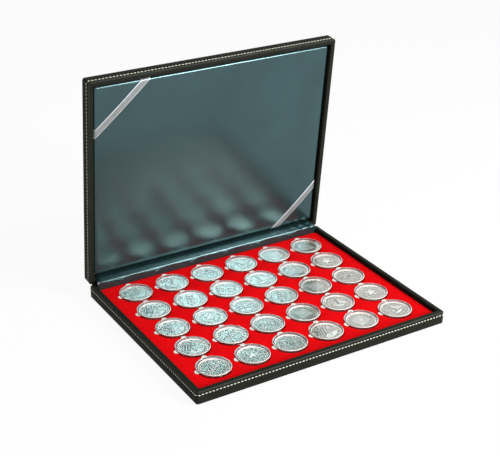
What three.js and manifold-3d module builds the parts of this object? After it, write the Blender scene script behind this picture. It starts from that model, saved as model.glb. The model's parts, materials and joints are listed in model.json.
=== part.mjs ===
// A coin display case: two shallow trays of board wrapped in leatherette, hinged along the back by a flexible
// spine. The base holds a red flocked panel with a grid of round seats, each with a coin in a clear capsule.
// The lid, shown standing open, holds a padded satin lining with two ribbons across its corners.
//
// Millimetres, +Z up. The origin is the centre of the base's underside, +X runs along the hinge and +Y points
// to the hinge. The case is sized from the coins outwards: coin, capsule, grid, panel, tray, wrapping.

import * as THREE from "three";
import { mergeVertices } from "three/addons/utils/BufferGeometryUtils.js";
import Module from "manifold-3d";

const wasm = await Module();
wasm.setup();

// Coins and capsules.
const COIN_DIAMETER = 32.5;
const COIN_THICKNESS = 3;
const CAPSULE_RING = 2.25; // from the coin's edge to the capsule's outside
const CAPSULE_BORE_GAP = 0.1; // the bore above the coin is this much wider than it, all round
const CAPSULE_HEIGHT = 6.4;
const CAPSULE_WINDOW = 1.2; // under the coin
const CAPSULE_BEVEL = 0.6;
const LUG_WIDTH = 5.6; // two thumb lugs, one on each half of a capsule, part the halves
const LUG_TIP_WIDTH = 3.4;
const LUG_REACH = 2.6;
const LUG_THICKNESS = 1.2;
const LUG_ROOT = 1; // how deep a lug starts inside the ring

// The grid of seats.
const COLUMNS = 6;
const ROWS = 5;
const COLUMN_GAP = 8.4; // between neighbouring capsules
const ROW_GAP = 6.4;
const SIDE_MARGIN = 14.5; // from the outermost capsules to the panel's edges
const FRONT_MARGIN = 11.2;
const BACK_MARGIN = 8.9;
const PANEL_THICKNESS = 3.9;
const PANEL_CORNER = 4;
const BACKING_THICKNESS = 2.3;

// Boards, leatherette and the fit between pieces that touch.
const FIT = 0.3;
const SKIN = 0.9; // leatherette
const WALL_BOARD = 3.8;
const FLOOR_BOARD = 2.4;
const RIM_ABOVE_PANEL = 4.4;
const CORNER_RADIUS = 3;
const INNER_CORNER = 0.4;
const EDGE_RADIUS = 1.2; // outer edges of a wrapped tray
const RIM_RADIUS = 0.8; // inner edge of its rim
const TURN_IN = 7; // how far the leatherette runs down inside the rim
const CLOSING_GAP = 0.3; // between the rims of the shut case

// Lid lining: card, foam and satin.
const SATIN = 0.4;
const LINING_CARD = 1.5;
const LINING_FOAM = 5.7;
const LINING_DROP = 2; // from the lid's rim down to the satin
const LINING_GAP = 1.2; // round the lining
const LINING_ROLL = 3; // radius of its padded edge
const LINING_CORNER = 3.4;
const LINING_CROWN = 0.6; // how much its middle stands above its rolled edge
const CROWN_WIDTH = 24; // from the edge to where the crown is full
const TURN_UNDER = 9; // satin folded behind the card

// Ribbons across two corners of the lining, measured from the corner to the ribbon's middle.
const RIBBON = 0.4;
const RIBBON_WIDTH = 7.4;
const RIBBON_TUCK = 2.5; // how far its ends run down beside the lining
const FAR_RIBBON_ALONG_SIDE = 55;
const FAR_RIBBON_ALONG_EDGE = 61;
const NEAR_RIBBON_ALONG_SIDE = 50.5;
const NEAR_RIBBON_ALONG_EDGE = 54;

// Hinge: a leatherette spine outside, and a flap of card with a satin web inside.
const LID_OPEN_DEGREES = 84.3;
const SPINE_BAND = 9; // height of the spine's strip on each half
const SPINE_BEND = 1.2; // its straight parts end this far from the pivot
const FLAP_CARD = 1.3;
const FLAP_RISE = 4.4; // how far the flap's card stands above the base's rim
const FLAP_END_GAP = 0.8; // at each end, to the tray's side walls
const WEB_ANCHOR = 4.9; // how deep in the lid the web is glued
const WEB_GLUED = 3.5; // height of its glued edge
const WEB_CROWN = 2.5; // how far the slack web bulges above a straight line

// Steps of round shapes, and one overrun for all cuts.
const RIM_SIDES = 24;
const CORNER_STEPS = 4;
const EDGE_STEPS = 2;
const BEND_STEPS = 5;
const WEB_STEPS = 8;
const OVERRUN = 2;

// The crown's rise, as shares of its width and height.
const CROWN_SHARES = [
  [0.4, 0.65],
  [1, 1],
];

// Derived sizes of the coin grid.
const CAPSULE_RADIUS = COIN_DIAMETER / 2 + CAPSULE_RING;
const SEAT_RADIUS = CAPSULE_RADIUS + FIT;
const COLUMN_PITCH = 2 * CAPSULE_RADIUS + COLUMN_GAP;
const ROW_PITCH = 2 * CAPSULE_RADIUS + ROW_GAP;
const GRID_WIDTH = (COLUMNS - 1) * COLUMN_PITCH + 2 * CAPSULE_RADIUS;
const GRID_DEPTH = (ROWS - 1) * ROW_PITCH + 2 * CAPSULE_RADIUS;

// Derived sizes of the trays, both of one outline.
const BOARD_INSET = SKIN + FIT;
const RIM = 2 * BOARD_INSET + WALL_BOARD;
const PANEL_WIDTH = GRID_WIDTH + 2 * SIDE_MARGIN;
const PANEL_DEPTH = FRONT_MARGIN + GRID_DEPTH + BACK_MARGIN;
const FLAP_POCKET = FIT + SATIN + FIT + FLAP_CARD + FIT; // between the panel and the back wall
const HALF_WIDTH = PANEL_WIDTH / 2 + FIT + RIM;
const HALF_DEPTH = (FIT + PANEL_DEPTH + FLAP_POCKET) / 2 + RIM;
const BOARD_CORNER = Math.max(CORNER_RADIUS - BOARD_INSET, INNER_CORNER);

// Heights in either tray, from its outer face.
const FLOOR_TOP = BOARD_INSET + FLOOR_BOARD;
const FIRST_LAYER = FLOOR_TOP + FIT;

// Heights in the base.
const PANEL_BOTTOM = FIRST_LAYER + BACKING_THICKNESS + FIT;
const PANEL_TOP = PANEL_BOTTOM + PANEL_THICKNESS;
const BASE_HEIGHT = PANEL_TOP + RIM_ABOVE_PANEL;
const FLAP_TOP = BASE_HEIGHT + FLAP_RISE;

// Heights in the lid.
const CARD_BOTTOM = FIRST_LAYER + SATIN + FIT;
const FOAM_BOTTOM = CARD_BOTTOM + LINING_CARD + FIT;
const LINING_TOP = FOAM_BOTTOM + LINING_FOAM + FIT + SATIN;
const LINING_EDGE_TOP = LINING_TOP - LINING_CROWN;
const LID_HEIGHT = LINING_TOP + LINING_DROP;

// Places in plan.
const PANEL_FRONT = -HALF_DEPTH + RIM + FIT;
const PANEL_BACK = PANEL_FRONT + PANEL_DEPTH;
const FIRST_COLUMN = -GRID_WIDTH / 2 + CAPSULE_RADIUS;
const FIRST_ROW = PANEL_FRONT + FRONT_MARGIN + CAPSULE_RADIUS;
const WEB_FRONT = PANEL_BACK + FIT;
const FLAP_FRONT = WEB_FRONT + SATIN + FIT;
const FLAP_HALF_LENGTH = HALF_WIDTH - RIM - FLAP_END_GAP;
const SPINE_HALF_LENGTH = HALF_WIDTH - CORNER_RADIUS - FIT;

// The hinge line runs through the middle of the spine's leatherette. The lid's own plan has it on the -Y side.
const PIVOT = new THREE.Vector2(HALF_DEPTH - SKIN / 2, BASE_HEIGHT + CLOSING_GAP / 2);
const PIVOT_ON_LID = new THREE.Vector2(-PIVOT.x, LID_HEIGHT + CLOSING_GAP / 2);
const LID_OPEN = THREE.MathUtils.degToRad(LID_OPEN_DEGREES);
const LID_TURN = Math.PI - LID_OPEN;

// The lining in the lid's plan. Shut, its near edge clears the flap in the base.
const LINING_HALF_WIDTH = HALF_WIDTH - RIM - LINING_GAP;
const LINING_FAR = HALF_DEPTH - RIM - LINING_GAP;
const LINING_NEAR = -WEB_FRONT + LINING_GAP;
const LINING_MIDDLE = (LINING_FAR + LINING_NEAR) / 2;
const LINING_HALF_DEPTH = (LINING_FAR - LINING_NEAR) / 2;

const leatherette = new THREE.MeshStandardMaterial({ color: 0x2b2d2a, roughness: 0.55 });
const greyboard = new THREE.MeshStandardMaterial({ color: 0x9a958a, roughness: 0.9 });
const flock = new THREE.MeshStandardMaterial({ color: 0xe01018, roughness: 0.95 });
const satin = new THREE.MeshStandardMaterial({ color: 0x43575e, roughness: 0.4 });
const foam = new THREE.MeshStandardMaterial({ color: 0xd9d6c8, roughness: 0.95 });
const ribbonCloth = new THREE.MeshStandardMaterial({ color: 0xb4b4b0, roughness: 0.5 });
const struckSilver = new THREE.MeshStandardMaterial({
  color: 0xb9bfbc,
  roughness: 0.3,
  metalness: 0.8,
});

const part = new THREE.Group();
const base = new THREE.Group();
const hinge = new THREE.Group();
const lid = new THREE.Group();
part.add(base, hinge);
hinge.add(lid);
hinge.position.set(0, PIVOT.x, PIVOT.y);
hinge.rotation.x = LID_TURN;
lid.position.set(0, -PIVOT_ON_LID.x, -PIVOT_ON_LID.y);

// Adds a named mesh to a group.
function add(group, name, geometry, material) {
  const mesh = new THREE.Mesh(geometry, material);
  mesh.name = name;
  group.add(mesh);
  return mesh;
}

// Points along an arc, both ends included.
function arc(centreX, centreY, radius, from, to, steps = EDGE_STEPS) {
  const points = [];
  for (let step = 0; step <= steps; step++) {
    const angle = from + ((to - from) * step) / steps;
    points.push([centreX + radius * Math.cos(angle), centreY + radius * Math.sin(angle)]);
  }
  return points;
}

// The corners of a rounded rectangle, anticlockwise seen from +Z.
function roundedCorners(halfX, halfY, radius) {
  const corners = [];
  for (let quarter = 0; quarter < 4; quarter++) {
    const x = (halfX - radius) * (quarter === 0 || quarter === 3 ? 1 : -1);
    const y = (halfY - radius) * (quarter < 2 ? 1 : -1);
    const from = (quarter * Math.PI) / 2;
    corners.push(...arc(x, y, radius, from, from + Math.PI / 2, CORNER_STEPS));
  }
  return corners;
}

// A closed solid skinned through rings of points, each ring anticlockwise seen from the end of the row.
function skinned(rings) {
  const count = rings[0].length;
  const faces = [];
  for (let ring = 0; ring + 1 < rings.length; ring++) {
    for (let i = 0; i < count; i++) {
      const a = ring * count + i;
      const b = ring * count + ((i + 1) % count);
      faces.push(a, b, b + count, a, b + count, a + count);
    }
  }
  const last = (rings.length - 1) * count;
  for (let i = 1; i + 1 < count; i++) {
    faces.push(0, i + 1, i, last, last + i, last + i + 1);
  }
  const geometry = new THREE.BufferGeometry();
  geometry.setAttribute("position", new THREE.Float32BufferAttribute(rings.flat(2), 3));
  geometry.setIndex(faces);
  return geometry;
}

// A solid whose section runs round a rounded rectangle. Each point of the section is [inset from the outline,
// height]. Its first ring is closed by a face that looks down, and its last by one that looks up.
function wrappedForm(halfX, halfY, cornerRadius, section) {
  const rings = section.map(([inset, z]) => {
    const radius = Math.max(cornerRadius - inset, INNER_CORNER);
    return roundedCorners(halfX - inset, halfY - inset, radius).map(([x, y]) => [x, y, z]);
  });
  return skinned(rings);
}

// A closed geometry as a solid that can be cut and joined.
function solid(geometry) {
  const bare = geometry.clone();
  bare.deleteAttribute("normal");
  bare.deleteAttribute("uv");
  const merged = mergeVertices(bare);
  const corners = merged.index.array;
  const faces = [];
  for (let i = 0; i < corners.length; i += 3) {
    const [a, b, c] = corners.slice(i, i + 3);
    if (a !== b && b !== c && c !== a) {
      faces.push(a, b, c);
    }
  }
  return new wasm.Manifold(
    new wasm.Mesh({
      numProp: 3,
      vertProperties: new Float32Array(merged.attributes.position.array),
      triVerts: new Uint32Array(faces),
    }),
  );
}

// A solid's surface as a geometry.
function surface(shape) {
  const mesh = shape.getMesh();
  const geometry = new THREE.BufferGeometry();
  geometry.setAttribute("position", new THREE.BufferAttribute(mesh.vertProperties, 3));
  geometry.setIndex(new THREE.BufferAttribute(mesh.triVerts, 1));
  return geometry;
}

// A box from its lowest to its highest corner.
function block(low, high) {
  const size = high.map((value, axis) => value - low[axis]);
  const centre = high.map((value, axis) => (value + low[axis]) / 2);
  return new THREE.BoxGeometry(...size).translate(...centre);
}

// A plate of a given outline between two heights, with round holes.
function plate(outline, bottom, top, holes = []) {
  const shape = new THREE.Shape(outline.map(([x, y]) => new THREE.Vector2(x, y)));
  shape.holes = holes;
  const settings = { depth: top - bottom, bevelEnabled: false, curveSegments: RIM_SIDES / 2 };
  return new THREE.ExtrudeGeometry(shape, settings).translate(0, 0, bottom);
}

// A band of even thickness that follows a line of [y, z] points, centred on X. It starts and ends square.
function band(line, thickness, halfLength) {
  const points = line.map(([y, z]) => new THREE.Vector2(y, z));
  const left = [];
  const right = [];
  points.forEach((point, i) => {
    const before = points[Math.max(i - 1, 0)];
    const after = points[Math.min(i + 1, points.length - 1)];
    const into = (i > 0 ? point.clone().sub(before) : after.clone().sub(point)).normalize();
    const out = (i + 1 < points.length ? after.clone().sub(point) : into.clone()).normalize();
    const along = into.clone().add(out).normalize();
    const side = new THREE.Vector2(-along.y, along.x).multiplyScalar(thickness / 2 / along.dot(into));
    left.push(point.clone().add(side));
    right.push(point.clone().sub(side));
  });
  const outline = [...right, ...left.reverse()].map((p) => [p.x, p.y]);
  const acrossX = new THREE.Matrix4().makeBasis(
    new THREE.Vector3(0, 1, 0),
    new THREE.Vector3(0, 0, 1),
    new THREE.Vector3(1, 0, 0),
  );
  return plate(outline, -halfLength, halfLength).applyMatrix4(acrossX);
}

// Where a [y, z] point of the lid's own plan stands with the lid open.
function onOpenLid(y, z) {
  const arm = new THREE.Vector2(y, z).sub(PIVOT_ON_LID);
  const cos = Math.cos(LID_TURN);
  const sin = Math.sin(LID_TURN);
  return [PIVOT.x + arm.x * cos - arm.y * sin, PIVOT.y + arm.x * sin + arm.y * cos];
}

// The leatherette of one tray: over the outer face, up the walls, round the rim and down inside it. On the
// hinge side it stops short of the rim, where the spine's strip lies in its place.
function leatheretteCover(height, hingeSide) {
  const section = [
    ...arc(EDGE_RADIUS, EDGE_RADIUS, EDGE_RADIUS, -Math.PI / 2, -Math.PI),
    ...arc(EDGE_RADIUS, height - EDGE_RADIUS, EDGE_RADIUS, Math.PI, Math.PI / 2),
    ...arc(RIM - RIM_RADIUS, height - RIM_RADIUS, RIM_RADIUS, Math.PI / 2, 0),
    [RIM, height - TURN_IN],
    [RIM - SKIN, height - TURN_IN],
    [RIM - SKIN, height - SKIN],
    [SKIN, height - SKIN],
    [SKIN, SKIN],
  ];
  const whole = solid(wrappedForm(HALF_WIDTH, HALF_DEPTH, CORNER_RADIUS, section));
  const near = HALF_DEPTH - BOARD_INSET;
  const far = HALF_DEPTH + OVERRUN;
  const notch = block(
    [-SPINE_HALF_LENGTH - FIT, hingeSide > 0 ? near : -far, height - SPINE_BAND - FIT],
    [SPINE_HALF_LENGTH + FIT, hingeSide > 0 ? far : -near, height + OVERRUN],
  );
  return surface(whole.subtract(solid(notch)));
}

// The boards of one tray: a floor, and four walls butted at the corners with the long ones whole.
function addBoards(group, name, height) {
  const halfX = HALF_WIDTH - BOARD_INSET;
  const halfY = HALF_DEPTH - BOARD_INSET;
  const outline = roundedCorners(halfX, halfY, BOARD_CORNER);
  const [bottom, top] = [FIRST_LAYER, height - BOARD_INSET];
  const frame = solid(plate(outline, bottom, top));
  const innerX = halfX - WALL_BOARD;
  const innerY = halfY - WALL_BOARD;
  const ends = innerY - FIT;
  const [pastX, pastY] = [halfX + OVERRUN, halfY + OVERRUN];
  const walls = {
    front: [-pastX, -pastY, pastX, -innerY],
    back: [-pastX, innerY, pastX, pastY],
    left: [-pastX, -ends, -innerX, ends],
    right: [innerX, -ends, pastX, ends],
  };
  add(group, `${name}_floor_board`, plate(outline, BOARD_INSET, FLOOR_TOP), greyboard);
  for (const [side, [x0, y0, x1, y1]] of Object.entries(walls)) {
    const room = solid(block([x0, y0, bottom - OVERRUN], [x1, y1, top + OVERRUN]));
    add(group, `${name}_${side}_board`, surface(frame.intersect(room)), greyboard);
  }
}

// The flocked panel: a board with a round seat through it for every capsule.
function flockedPanel() {
  const middle = (PANEL_FRONT + PANEL_BACK) / 2;
  const outline = panelOutline().map(([x, y]) => [x, y + middle]);
  const seats = seatCentres().map(({ x, y }) => {
    const seat = new THREE.Path();
    seat.absarc(x, y, SEAT_RADIUS, 0, 2 * Math.PI);
    return seat;
  });
  return plate(outline, PANEL_BOTTOM, PANEL_TOP, seats);
}

function panelOutline() {
  return roundedCorners(PANEL_WIDTH / 2, PANEL_DEPTH / 2, PANEL_CORNER);
}

// Every seat's centre, front row first.
function seatCentres() {
  const centres = [];
  for (let row = 0; row < ROWS; row++) {
    for (let column = 0; column < COLUMNS; column++) {
      const x = FIRST_COLUMN + column * COLUMN_PITCH;
      const y = FIRST_ROW + row * ROW_PITCH;
      centres.push({ name: `capsule_r${row + 1}_c${column + 1}`, x, y });
    }
  }
  return centres;
}

// A coin in its capsule, joined as one: the ring, the window under the coin, the coin itself and the bore above
// it. Two lugs stand out just over the flocked panel, to the hinge and to the left.
function coinInCapsule() {
  const coinTop = CAPSULE_WINDOW + COIN_THICKNESS;
  const bore = COIN_DIAMETER / 2 + CAPSULE_BORE_GAP;
  const section = [
    [0, 0],
    [CAPSULE_RADIUS, 0],
    [CAPSULE_RADIUS, CAPSULE_HEIGHT - CAPSULE_BEVEL],
    [CAPSULE_RADIUS - CAPSULE_BEVEL, CAPSULE_HEIGHT],
    [bore, CAPSULE_HEIGHT],
    [bore, coinTop],
    [0, coinTop],
  ].map(([radius, z]) => new THREE.Vector2(radius, z));
  const turned = solid(new THREE.LatheGeometry(section, RIM_SIDES).rotateX(Math.PI / 2));
  const root = CAPSULE_RADIUS - LUG_ROOT;
  const tip = CAPSULE_RADIUS + LUG_REACH;
  const lugOutline = [
    [LUG_WIDTH / 2, root],
    [LUG_TIP_WIDTH / 2, tip],
    [-LUG_TIP_WIDTH / 2, tip],
    [-LUG_WIDTH / 2, root],
  ];
  const lugBottom = PANEL_THICKNESS + FIT;
  const hingeLug = plate(lugOutline, lugBottom, lugBottom + LUG_THICKNESS);
  const leftLug = hingeLug.clone().rotateZ(Math.PI / 2);
  return surface(turned.add(solid(hingeLug)).add(solid(leftLug)));
}

// The padded side of the lining, from its straight side up the rolled edge to the crown, moved in by an offset.
function paddedSide(offset) {
  const rise = CROWN_SHARES.map(([width, height]) => [
    LINING_ROLL + (CROWN_WIDTH - LINING_ROLL) * width,
    LINING_EDGE_TOP + LINING_CROWN * height - offset,
  ]);
  const rollCentre = LINING_EDGE_TOP - LINING_ROLL;
  return [...arc(LINING_ROLL, rollCentre, LINING_ROLL - offset, Math.PI, Math.PI / 2), ...rise];
}

function liningForm(section) {
  const form = wrappedForm(LINING_HALF_WIDTH, LINING_HALF_DEPTH, LINING_CORNER, section);
  return form.translate(0, LINING_MIDDLE, 0);
}

// The satin: over the foam, down the sides and folded behind the card.
function liningSatin() {
  return liningForm([
    ...paddedSide(SATIN).reverse(),
    [SATIN, FIRST_LAYER + SATIN],
    [TURN_UNDER, FIRST_LAYER + SATIN],
    [TURN_UNDER, FIRST_LAYER],
    [0, FIRST_LAYER],
    ...paddedSide(0),
  ]);
}

function liningFoam() {
  const offset = SATIN + FIT;
  return liningForm([[offset, FOAM_BOTTOM], ...paddedSide(offset)]);
}

function liningCard() {
  const offset = SATIN + FIT;
  const top = CARD_BOTTOM + LINING_CARD;
  return liningForm([
    [offset, CARD_BOTTOM],
    [offset, top],
  ]);
}

// A ribbon from a side edge of the lining to its near or far edge. Each of its long edges climbs the rolled side,
// crosses the crown and runs down beside the lining at the other end. side is -1 for left and 1 for right, end
// is -1 for the hinge's edge and 1 for the far one.
function cornerRibbon(side, end, alongSide, alongEdge) {
  const start = new THREE.Vector2(side * LINING_HALF_WIDTH, end * (LINING_HALF_DEPTH - alongSide));
  const finish = new THREE.Vector2(side * (LINING_HALF_WIDTH - alongEdge), end * LINING_HALF_DEPTH);
  const along = finish.clone().sub(start).normalize();
  const across = new THREE.Vector2(-along.y, along.x);
  const tuck = LINING_EDGE_TOP - LINING_ROLL - RIBBON_TUCK;

  // The long edge's point where it lies a given inset from the side edge, or from the end edge.
  const place = (shift, inset, z, fromSide) => {
    const edge = start.clone().addScaledVector(across, shift);
    const goal = fromSide ? side * (LINING_HALF_WIDTH - inset) : end * (LINING_HALF_DEPTH - inset);
    const t = fromSide ? (goal - edge.x) / along.x : (goal - edge.y) / along.y;
    return [edge.x + along.x * t, edge.y + along.y * t + LINING_MIDDLE, z];
  };
  const under = [[-FIT, tuck], ...paddedSide(-FIT)];
  const over = [[-FIT - RIBBON, tuck], ...paddedSide(-FIT - RIBBON)];
  const half = RIBBON_WIDTH / 2;
  const rings = under.map(([underInset, underZ], i) => {
    const [overInset, overZ] = over[i];
    return (fromSide) => [
      place(half, underInset, underZ, fromSide),
      place(half, overInset, overZ, fromSide),
      place(-half, overInset, overZ, fromSide),
      place(-half, underInset, underZ, fromSide),
    ];
  });
  return skinned([...rings.map((ring) => ring(true)), ...rings.reverse().map((ring) => ring(false))]);
}

// The spine: up the base's back, round the hinge line and along the lid's back.
function hingeSpine() {
  const radius = SPINE_BEND / Math.tan(LID_OPEN / 2);
  const line = [
    [PIVOT.x, BASE_HEIGHT - SPINE_BAND],
    ...arc(PIVOT.x + radius, PIVOT.y - SPINE_BEND, radius, Math.PI, LID_TURN, BEND_STEPS),
    onOpenLid(PIVOT_ON_LID.x, LID_HEIGHT - SPINE_BAND),
  ];
  return band(line, SKIN, SPINE_HALF_LENGTH);
}

// The stiff flap that hides the hinge from inside, standing between the panel and the base's back wall.
function hingeFlap() {
  const middle = FLAP_FRONT + FLAP_CARD / 2;
  const line = [
    [middle, FIRST_LAYER],
    [middle, FLAP_TOP],
  ];
  return band(line, FLAP_CARD, FLAP_HALF_LENGTH);
}

// The satin web: glued to the flap's front, over its top edge, and slack across to the lid's back wall.
function hingeWeb() {
  const lower = WEB_FRONT + SATIN / 2;
  const onLid = -HALF_DEPTH + RIM + FIT + SATIN / 2;
  const ridge = new THREE.Vector2(lower, FLAP_TOP + FIT);
  const anchor = new THREE.Vector2(...onOpenLid(onLid, LID_HEIGHT - WEB_ANCHOR));
  const chord = anchor.clone().sub(ridge).normalize();
  const middle = ridge.clone().add(anchor).multiplyScalar(1 / 2);
  const pull = middle.addScaledVector(new THREE.Vector2(-chord.y, chord.x), 2 * WEB_CROWN);
  const slack = new THREE.QuadraticBezierCurve(ridge, pull, anchor).getPoints(WEB_STEPS);
  const line = [
    [lower, FIRST_LAYER],
    ...slack.map((p) => [p.x, p.y]),
    onOpenLid(onLid, LID_HEIGHT - WEB_ANCHOR - WEB_GLUED),
  ];
  return band(line, SATIN, FLAP_HALF_LENGTH);
}

// Base.
add(base, "base_cover", leatheretteCover(BASE_HEIGHT, 1), leatherette);
addBoards(base, "base", BASE_HEIGHT);
const backing = plate(panelOutline(), FIRST_LAYER, FIRST_LAYER + BACKING_THICKNESS);
add(base, "panel_backing", backing.translate(0, (PANEL_FRONT + PANEL_BACK) / 2, 0), greyboard);
add(base, "flocked_panel", flockedPanel(), flock);

// Hinge.
add(base, "hinge_spine", hingeSpine(), leatherette);
add(base, "hinge_flap", hingeFlap(), greyboard);
add(base, "hinge_web", hingeWeb(), satin);

// Lid.
add(lid, "lid_cover", leatheretteCover(LID_HEIGHT, -1), leatherette);
addBoards(lid, "lid", LID_HEIGHT);
add(lid, "lining_card", liningCard(), greyboard);
add(lid, "lining_foam", liningFoam(), foam);
add(lid, "lining_satin", liningSatin(), satin);
const farRibbon = cornerRibbon(-1, 1, FAR_RIBBON_ALONG_SIDE, FAR_RIBBON_ALONG_EDGE);
const nearRibbon = cornerRibbon(1, -1, NEAR_RIBBON_ALONG_SIDE, NEAR_RIBBON_ALONG_EDGE);
add(lid, "ribbon_far_left", farRibbon, ribbonCloth);
add(lid, "ribbon_near_right", nearRibbon, ribbonCloth);

// Coins in their capsules.
const capsule = coinInCapsule();
for (const { name, x, y } of seatCentres()) {
  add(base, name, capsule, struckSilver).position.set(x, y, PANEL_BOTTOM);
}

export default part;
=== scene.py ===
# %% [markdown]
# # A coin display case
#
# The real case is two shallow trays of greyboard wrapped in pebbled leatherette, hinged along the back by a
# strip of the same leatherette. The base holds a red flocked panel with thirty round seats, and in each seat
# a silver coin lies in a clear capsule. The lid stands open and shows a padded satin lining with two grosgrain
# ribbons across its corners.
#
# Every piece here is made round a fixed frame, the measured model of the case, so a piece goes where the frame
# says. Shapes are worked out in millimetres and become metres when their mesh is made.

# %% Load the frame
import json
import math

import bmesh
import bpy
import numpy as np
from mathutils import Matrix, Vector
from mathutils.bvhtree import BVHTree


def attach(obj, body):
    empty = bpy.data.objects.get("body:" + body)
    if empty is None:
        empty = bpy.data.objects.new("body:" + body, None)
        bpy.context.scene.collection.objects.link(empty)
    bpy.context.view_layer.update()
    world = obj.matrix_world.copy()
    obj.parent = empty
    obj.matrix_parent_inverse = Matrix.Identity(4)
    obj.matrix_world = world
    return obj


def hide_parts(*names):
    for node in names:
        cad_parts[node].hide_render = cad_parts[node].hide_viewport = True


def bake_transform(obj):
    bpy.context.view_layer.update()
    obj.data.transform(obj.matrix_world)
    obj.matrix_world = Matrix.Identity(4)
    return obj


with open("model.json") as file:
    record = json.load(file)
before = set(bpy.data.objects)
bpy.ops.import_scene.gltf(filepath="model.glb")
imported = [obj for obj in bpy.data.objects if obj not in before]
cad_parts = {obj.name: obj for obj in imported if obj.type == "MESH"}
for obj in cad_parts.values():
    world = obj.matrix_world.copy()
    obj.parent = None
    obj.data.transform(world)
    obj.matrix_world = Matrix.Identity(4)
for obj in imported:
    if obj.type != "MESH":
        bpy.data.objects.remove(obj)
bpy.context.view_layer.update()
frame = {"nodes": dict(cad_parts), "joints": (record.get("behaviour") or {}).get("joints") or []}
MM = 0.001

# %% [markdown]
# ## Where the lid is
#
# The lid is the base's twin, turned about the spine. Its pieces are easiest to think of lying flat with the
# opening up, so each is made that way, and one matrix turns and lifts it to its place. The matrix comes from the
# hinge's own place and range in the frame.

# %% Places of the two trays
hinge = next(joint for joint in frame["joints"] if joint["name"] == "lid_hinge")
PIVOT = Vector(hinge["pos_m"])
PIVOT_ON_LID = Vector((PIVOT.x, -PIVOT.y, PIVOT.z))
LID_TURN = math.radians(180 + hinge["range_deg"][0])
BASE_PLACE = Matrix.Identity(4)
LID_PLACE = Matrix.Translation(PIVOT) @ Matrix.Rotation(LID_TURN, 4, "X") @ Matrix.Translation(-PIVOT_ON_LID)
print("the lid is turned by", round(math.degrees(LID_TURN), 1), "degrees")


def box_of(node, place=BASE_PLACE):
    """Lowest and highest corner of a frame node, in millimetres, in a tray's own directions."""
    back = place.inverted()
    corners = np.array([back @ vertex.co for vertex in frame["nodes"][node].data.vertices])
    return corners.min(0) / MM, corners.max(0) / MM


# %% [markdown]
# ## The camera
#
# The photograph was taken from the front left, a good metre away and looking down on the case. The place, the
# angles and the lens were solved from the grid of coins, whose spacing is regular.

# %% Camera
PHOTO_WIDTH = 500
FOCAL_PIXELS = 1168.68
SENSOR = 36
CAMERA_PLACE = (-0.6011, -0.9421, 0.6498)
CAMERA_ANGLES = (63.811, -0.625, -31.391)


def linked(name, data):
    """A new object of this data, in the scene."""
    new = bpy.data.objects.new(name, data)
    bpy.context.scene.collection.objects.link(new)
    return new


camera_data = bpy.data.cameras.new("camera")
camera_data.sensor_width = SENSOR
camera_data.lens = FOCAL_PIXELS * SENSOR / PHOTO_WIDTH
camera = linked("camera", camera_data)
camera.location = CAMERA_PLACE
camera.rotation_euler = [math.radians(angle) for angle in CAMERA_ANGLES]
bpy.context.scene.camera = camera
print("lens", round(camera_data.lens, 2), "mm")

# %% [markdown]
# ## Small helpers
#
# Colours are written as the hex values that a screen shows and are turned to linear light once. One function adds
# any kind of node, in a material or in a Geometry Nodes tree, with its settings and its links. Thread, flock, board
# and foam are each one colour that wavers with a fine and maybe a coarse pattern, so one function makes all four.

# %% Colour and node helpers
SRGB_TOE = 0.04045
SRGB_TOE_SLOPE = 12.92
SRGB_OFFSET = 0.055
SRGB_POWER = 2.4


def linear(hex_colour):
    """An sRGB hex colour as linear red, green, blue and alpha."""
    channels = [int(hex_colour[start:start + 2], 16) / 255 for start in (0, 2, 4)]
    light = [
        c / SRGB_TOE_SLOPE if c <= SRGB_TOE else ((c + SRGB_OFFSET) / (1 + SRGB_OFFSET)) ** SRGB_POWER
        for c in channels
    ]
    return (*light, 1)


def give(node, inputs):
    """Gives each named or numbered input a value, a hex colour or a link. A node stands for its first output."""
    for name, value in inputs.items():
        socket = node.inputs[name]
        if isinstance(value, bpy.types.Node):
            value = value.outputs[0]
        if isinstance(value, bpy.types.NodeSocket):
            node.id_data.links.new(value, socket)
        else:
            socket.default_value = linear(value) if socket.type == "RGBA" and isinstance(value, str) else value


def add_node(tree, kind, inputs=None, **settings):
    """Adds a node, sets its settings, and gives its inputs their values, colours or links."""
    new = tree.nodes.new(kind)
    for name, value in settings.items():
        setattr(new, name, value)
    give(new, inputs or {})
    return new


def new_material(name, constants):
    """A material, its tree and its Principled shader, with constants set on the shader's own sockets."""
    material = bpy.data.materials.new(name)
    material.use_nodes = True
    shader = material.node_tree.nodes["Principled BSDF"]
    give(shader, constants)
    return material, material.node_tree, shader


def per_metre(pattern_size):
    """The scale of a pattern whose cells have this size in millimetres."""
    return 1 / (pattern_size * MM)


def two_tone(name, constants, patterns, dark, pale, strength, depth):
    """A material that runs from dark to pale by the product of its patterns and is raised by the first of them.

    A pattern is the kind of its node, the size of its cells in millimetres and the node's other inputs.
    """
    material, tree, shader = new_material(name, constants)
    place = add_node(tree, "ShaderNodeTexCoord").outputs["Object"]
    drawn = [add_node(tree, kind, {"Vector": place, "Scale": per_metre(size)} | more) for kind, size, more in patterns]
    share = drawn[0]
    for other in drawn[1:]:
        share = add_node(tree, "ShaderNodeMath", {0: share, 1: other}, operation="MULTIPLY")
    colour = add_node(tree, "ShaderNodeMix", {0: share, 6: dark, 7: pale}, data_type="RGBA")
    bump = add_node(tree, "ShaderNodeBump", {"Height": drawn[0], "Strength": strength, "Distance": depth * MM})
    give(shader, {"Base Color": colour.outputs[2], "Normal": bump})
    print("made", name)
    return material
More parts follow.
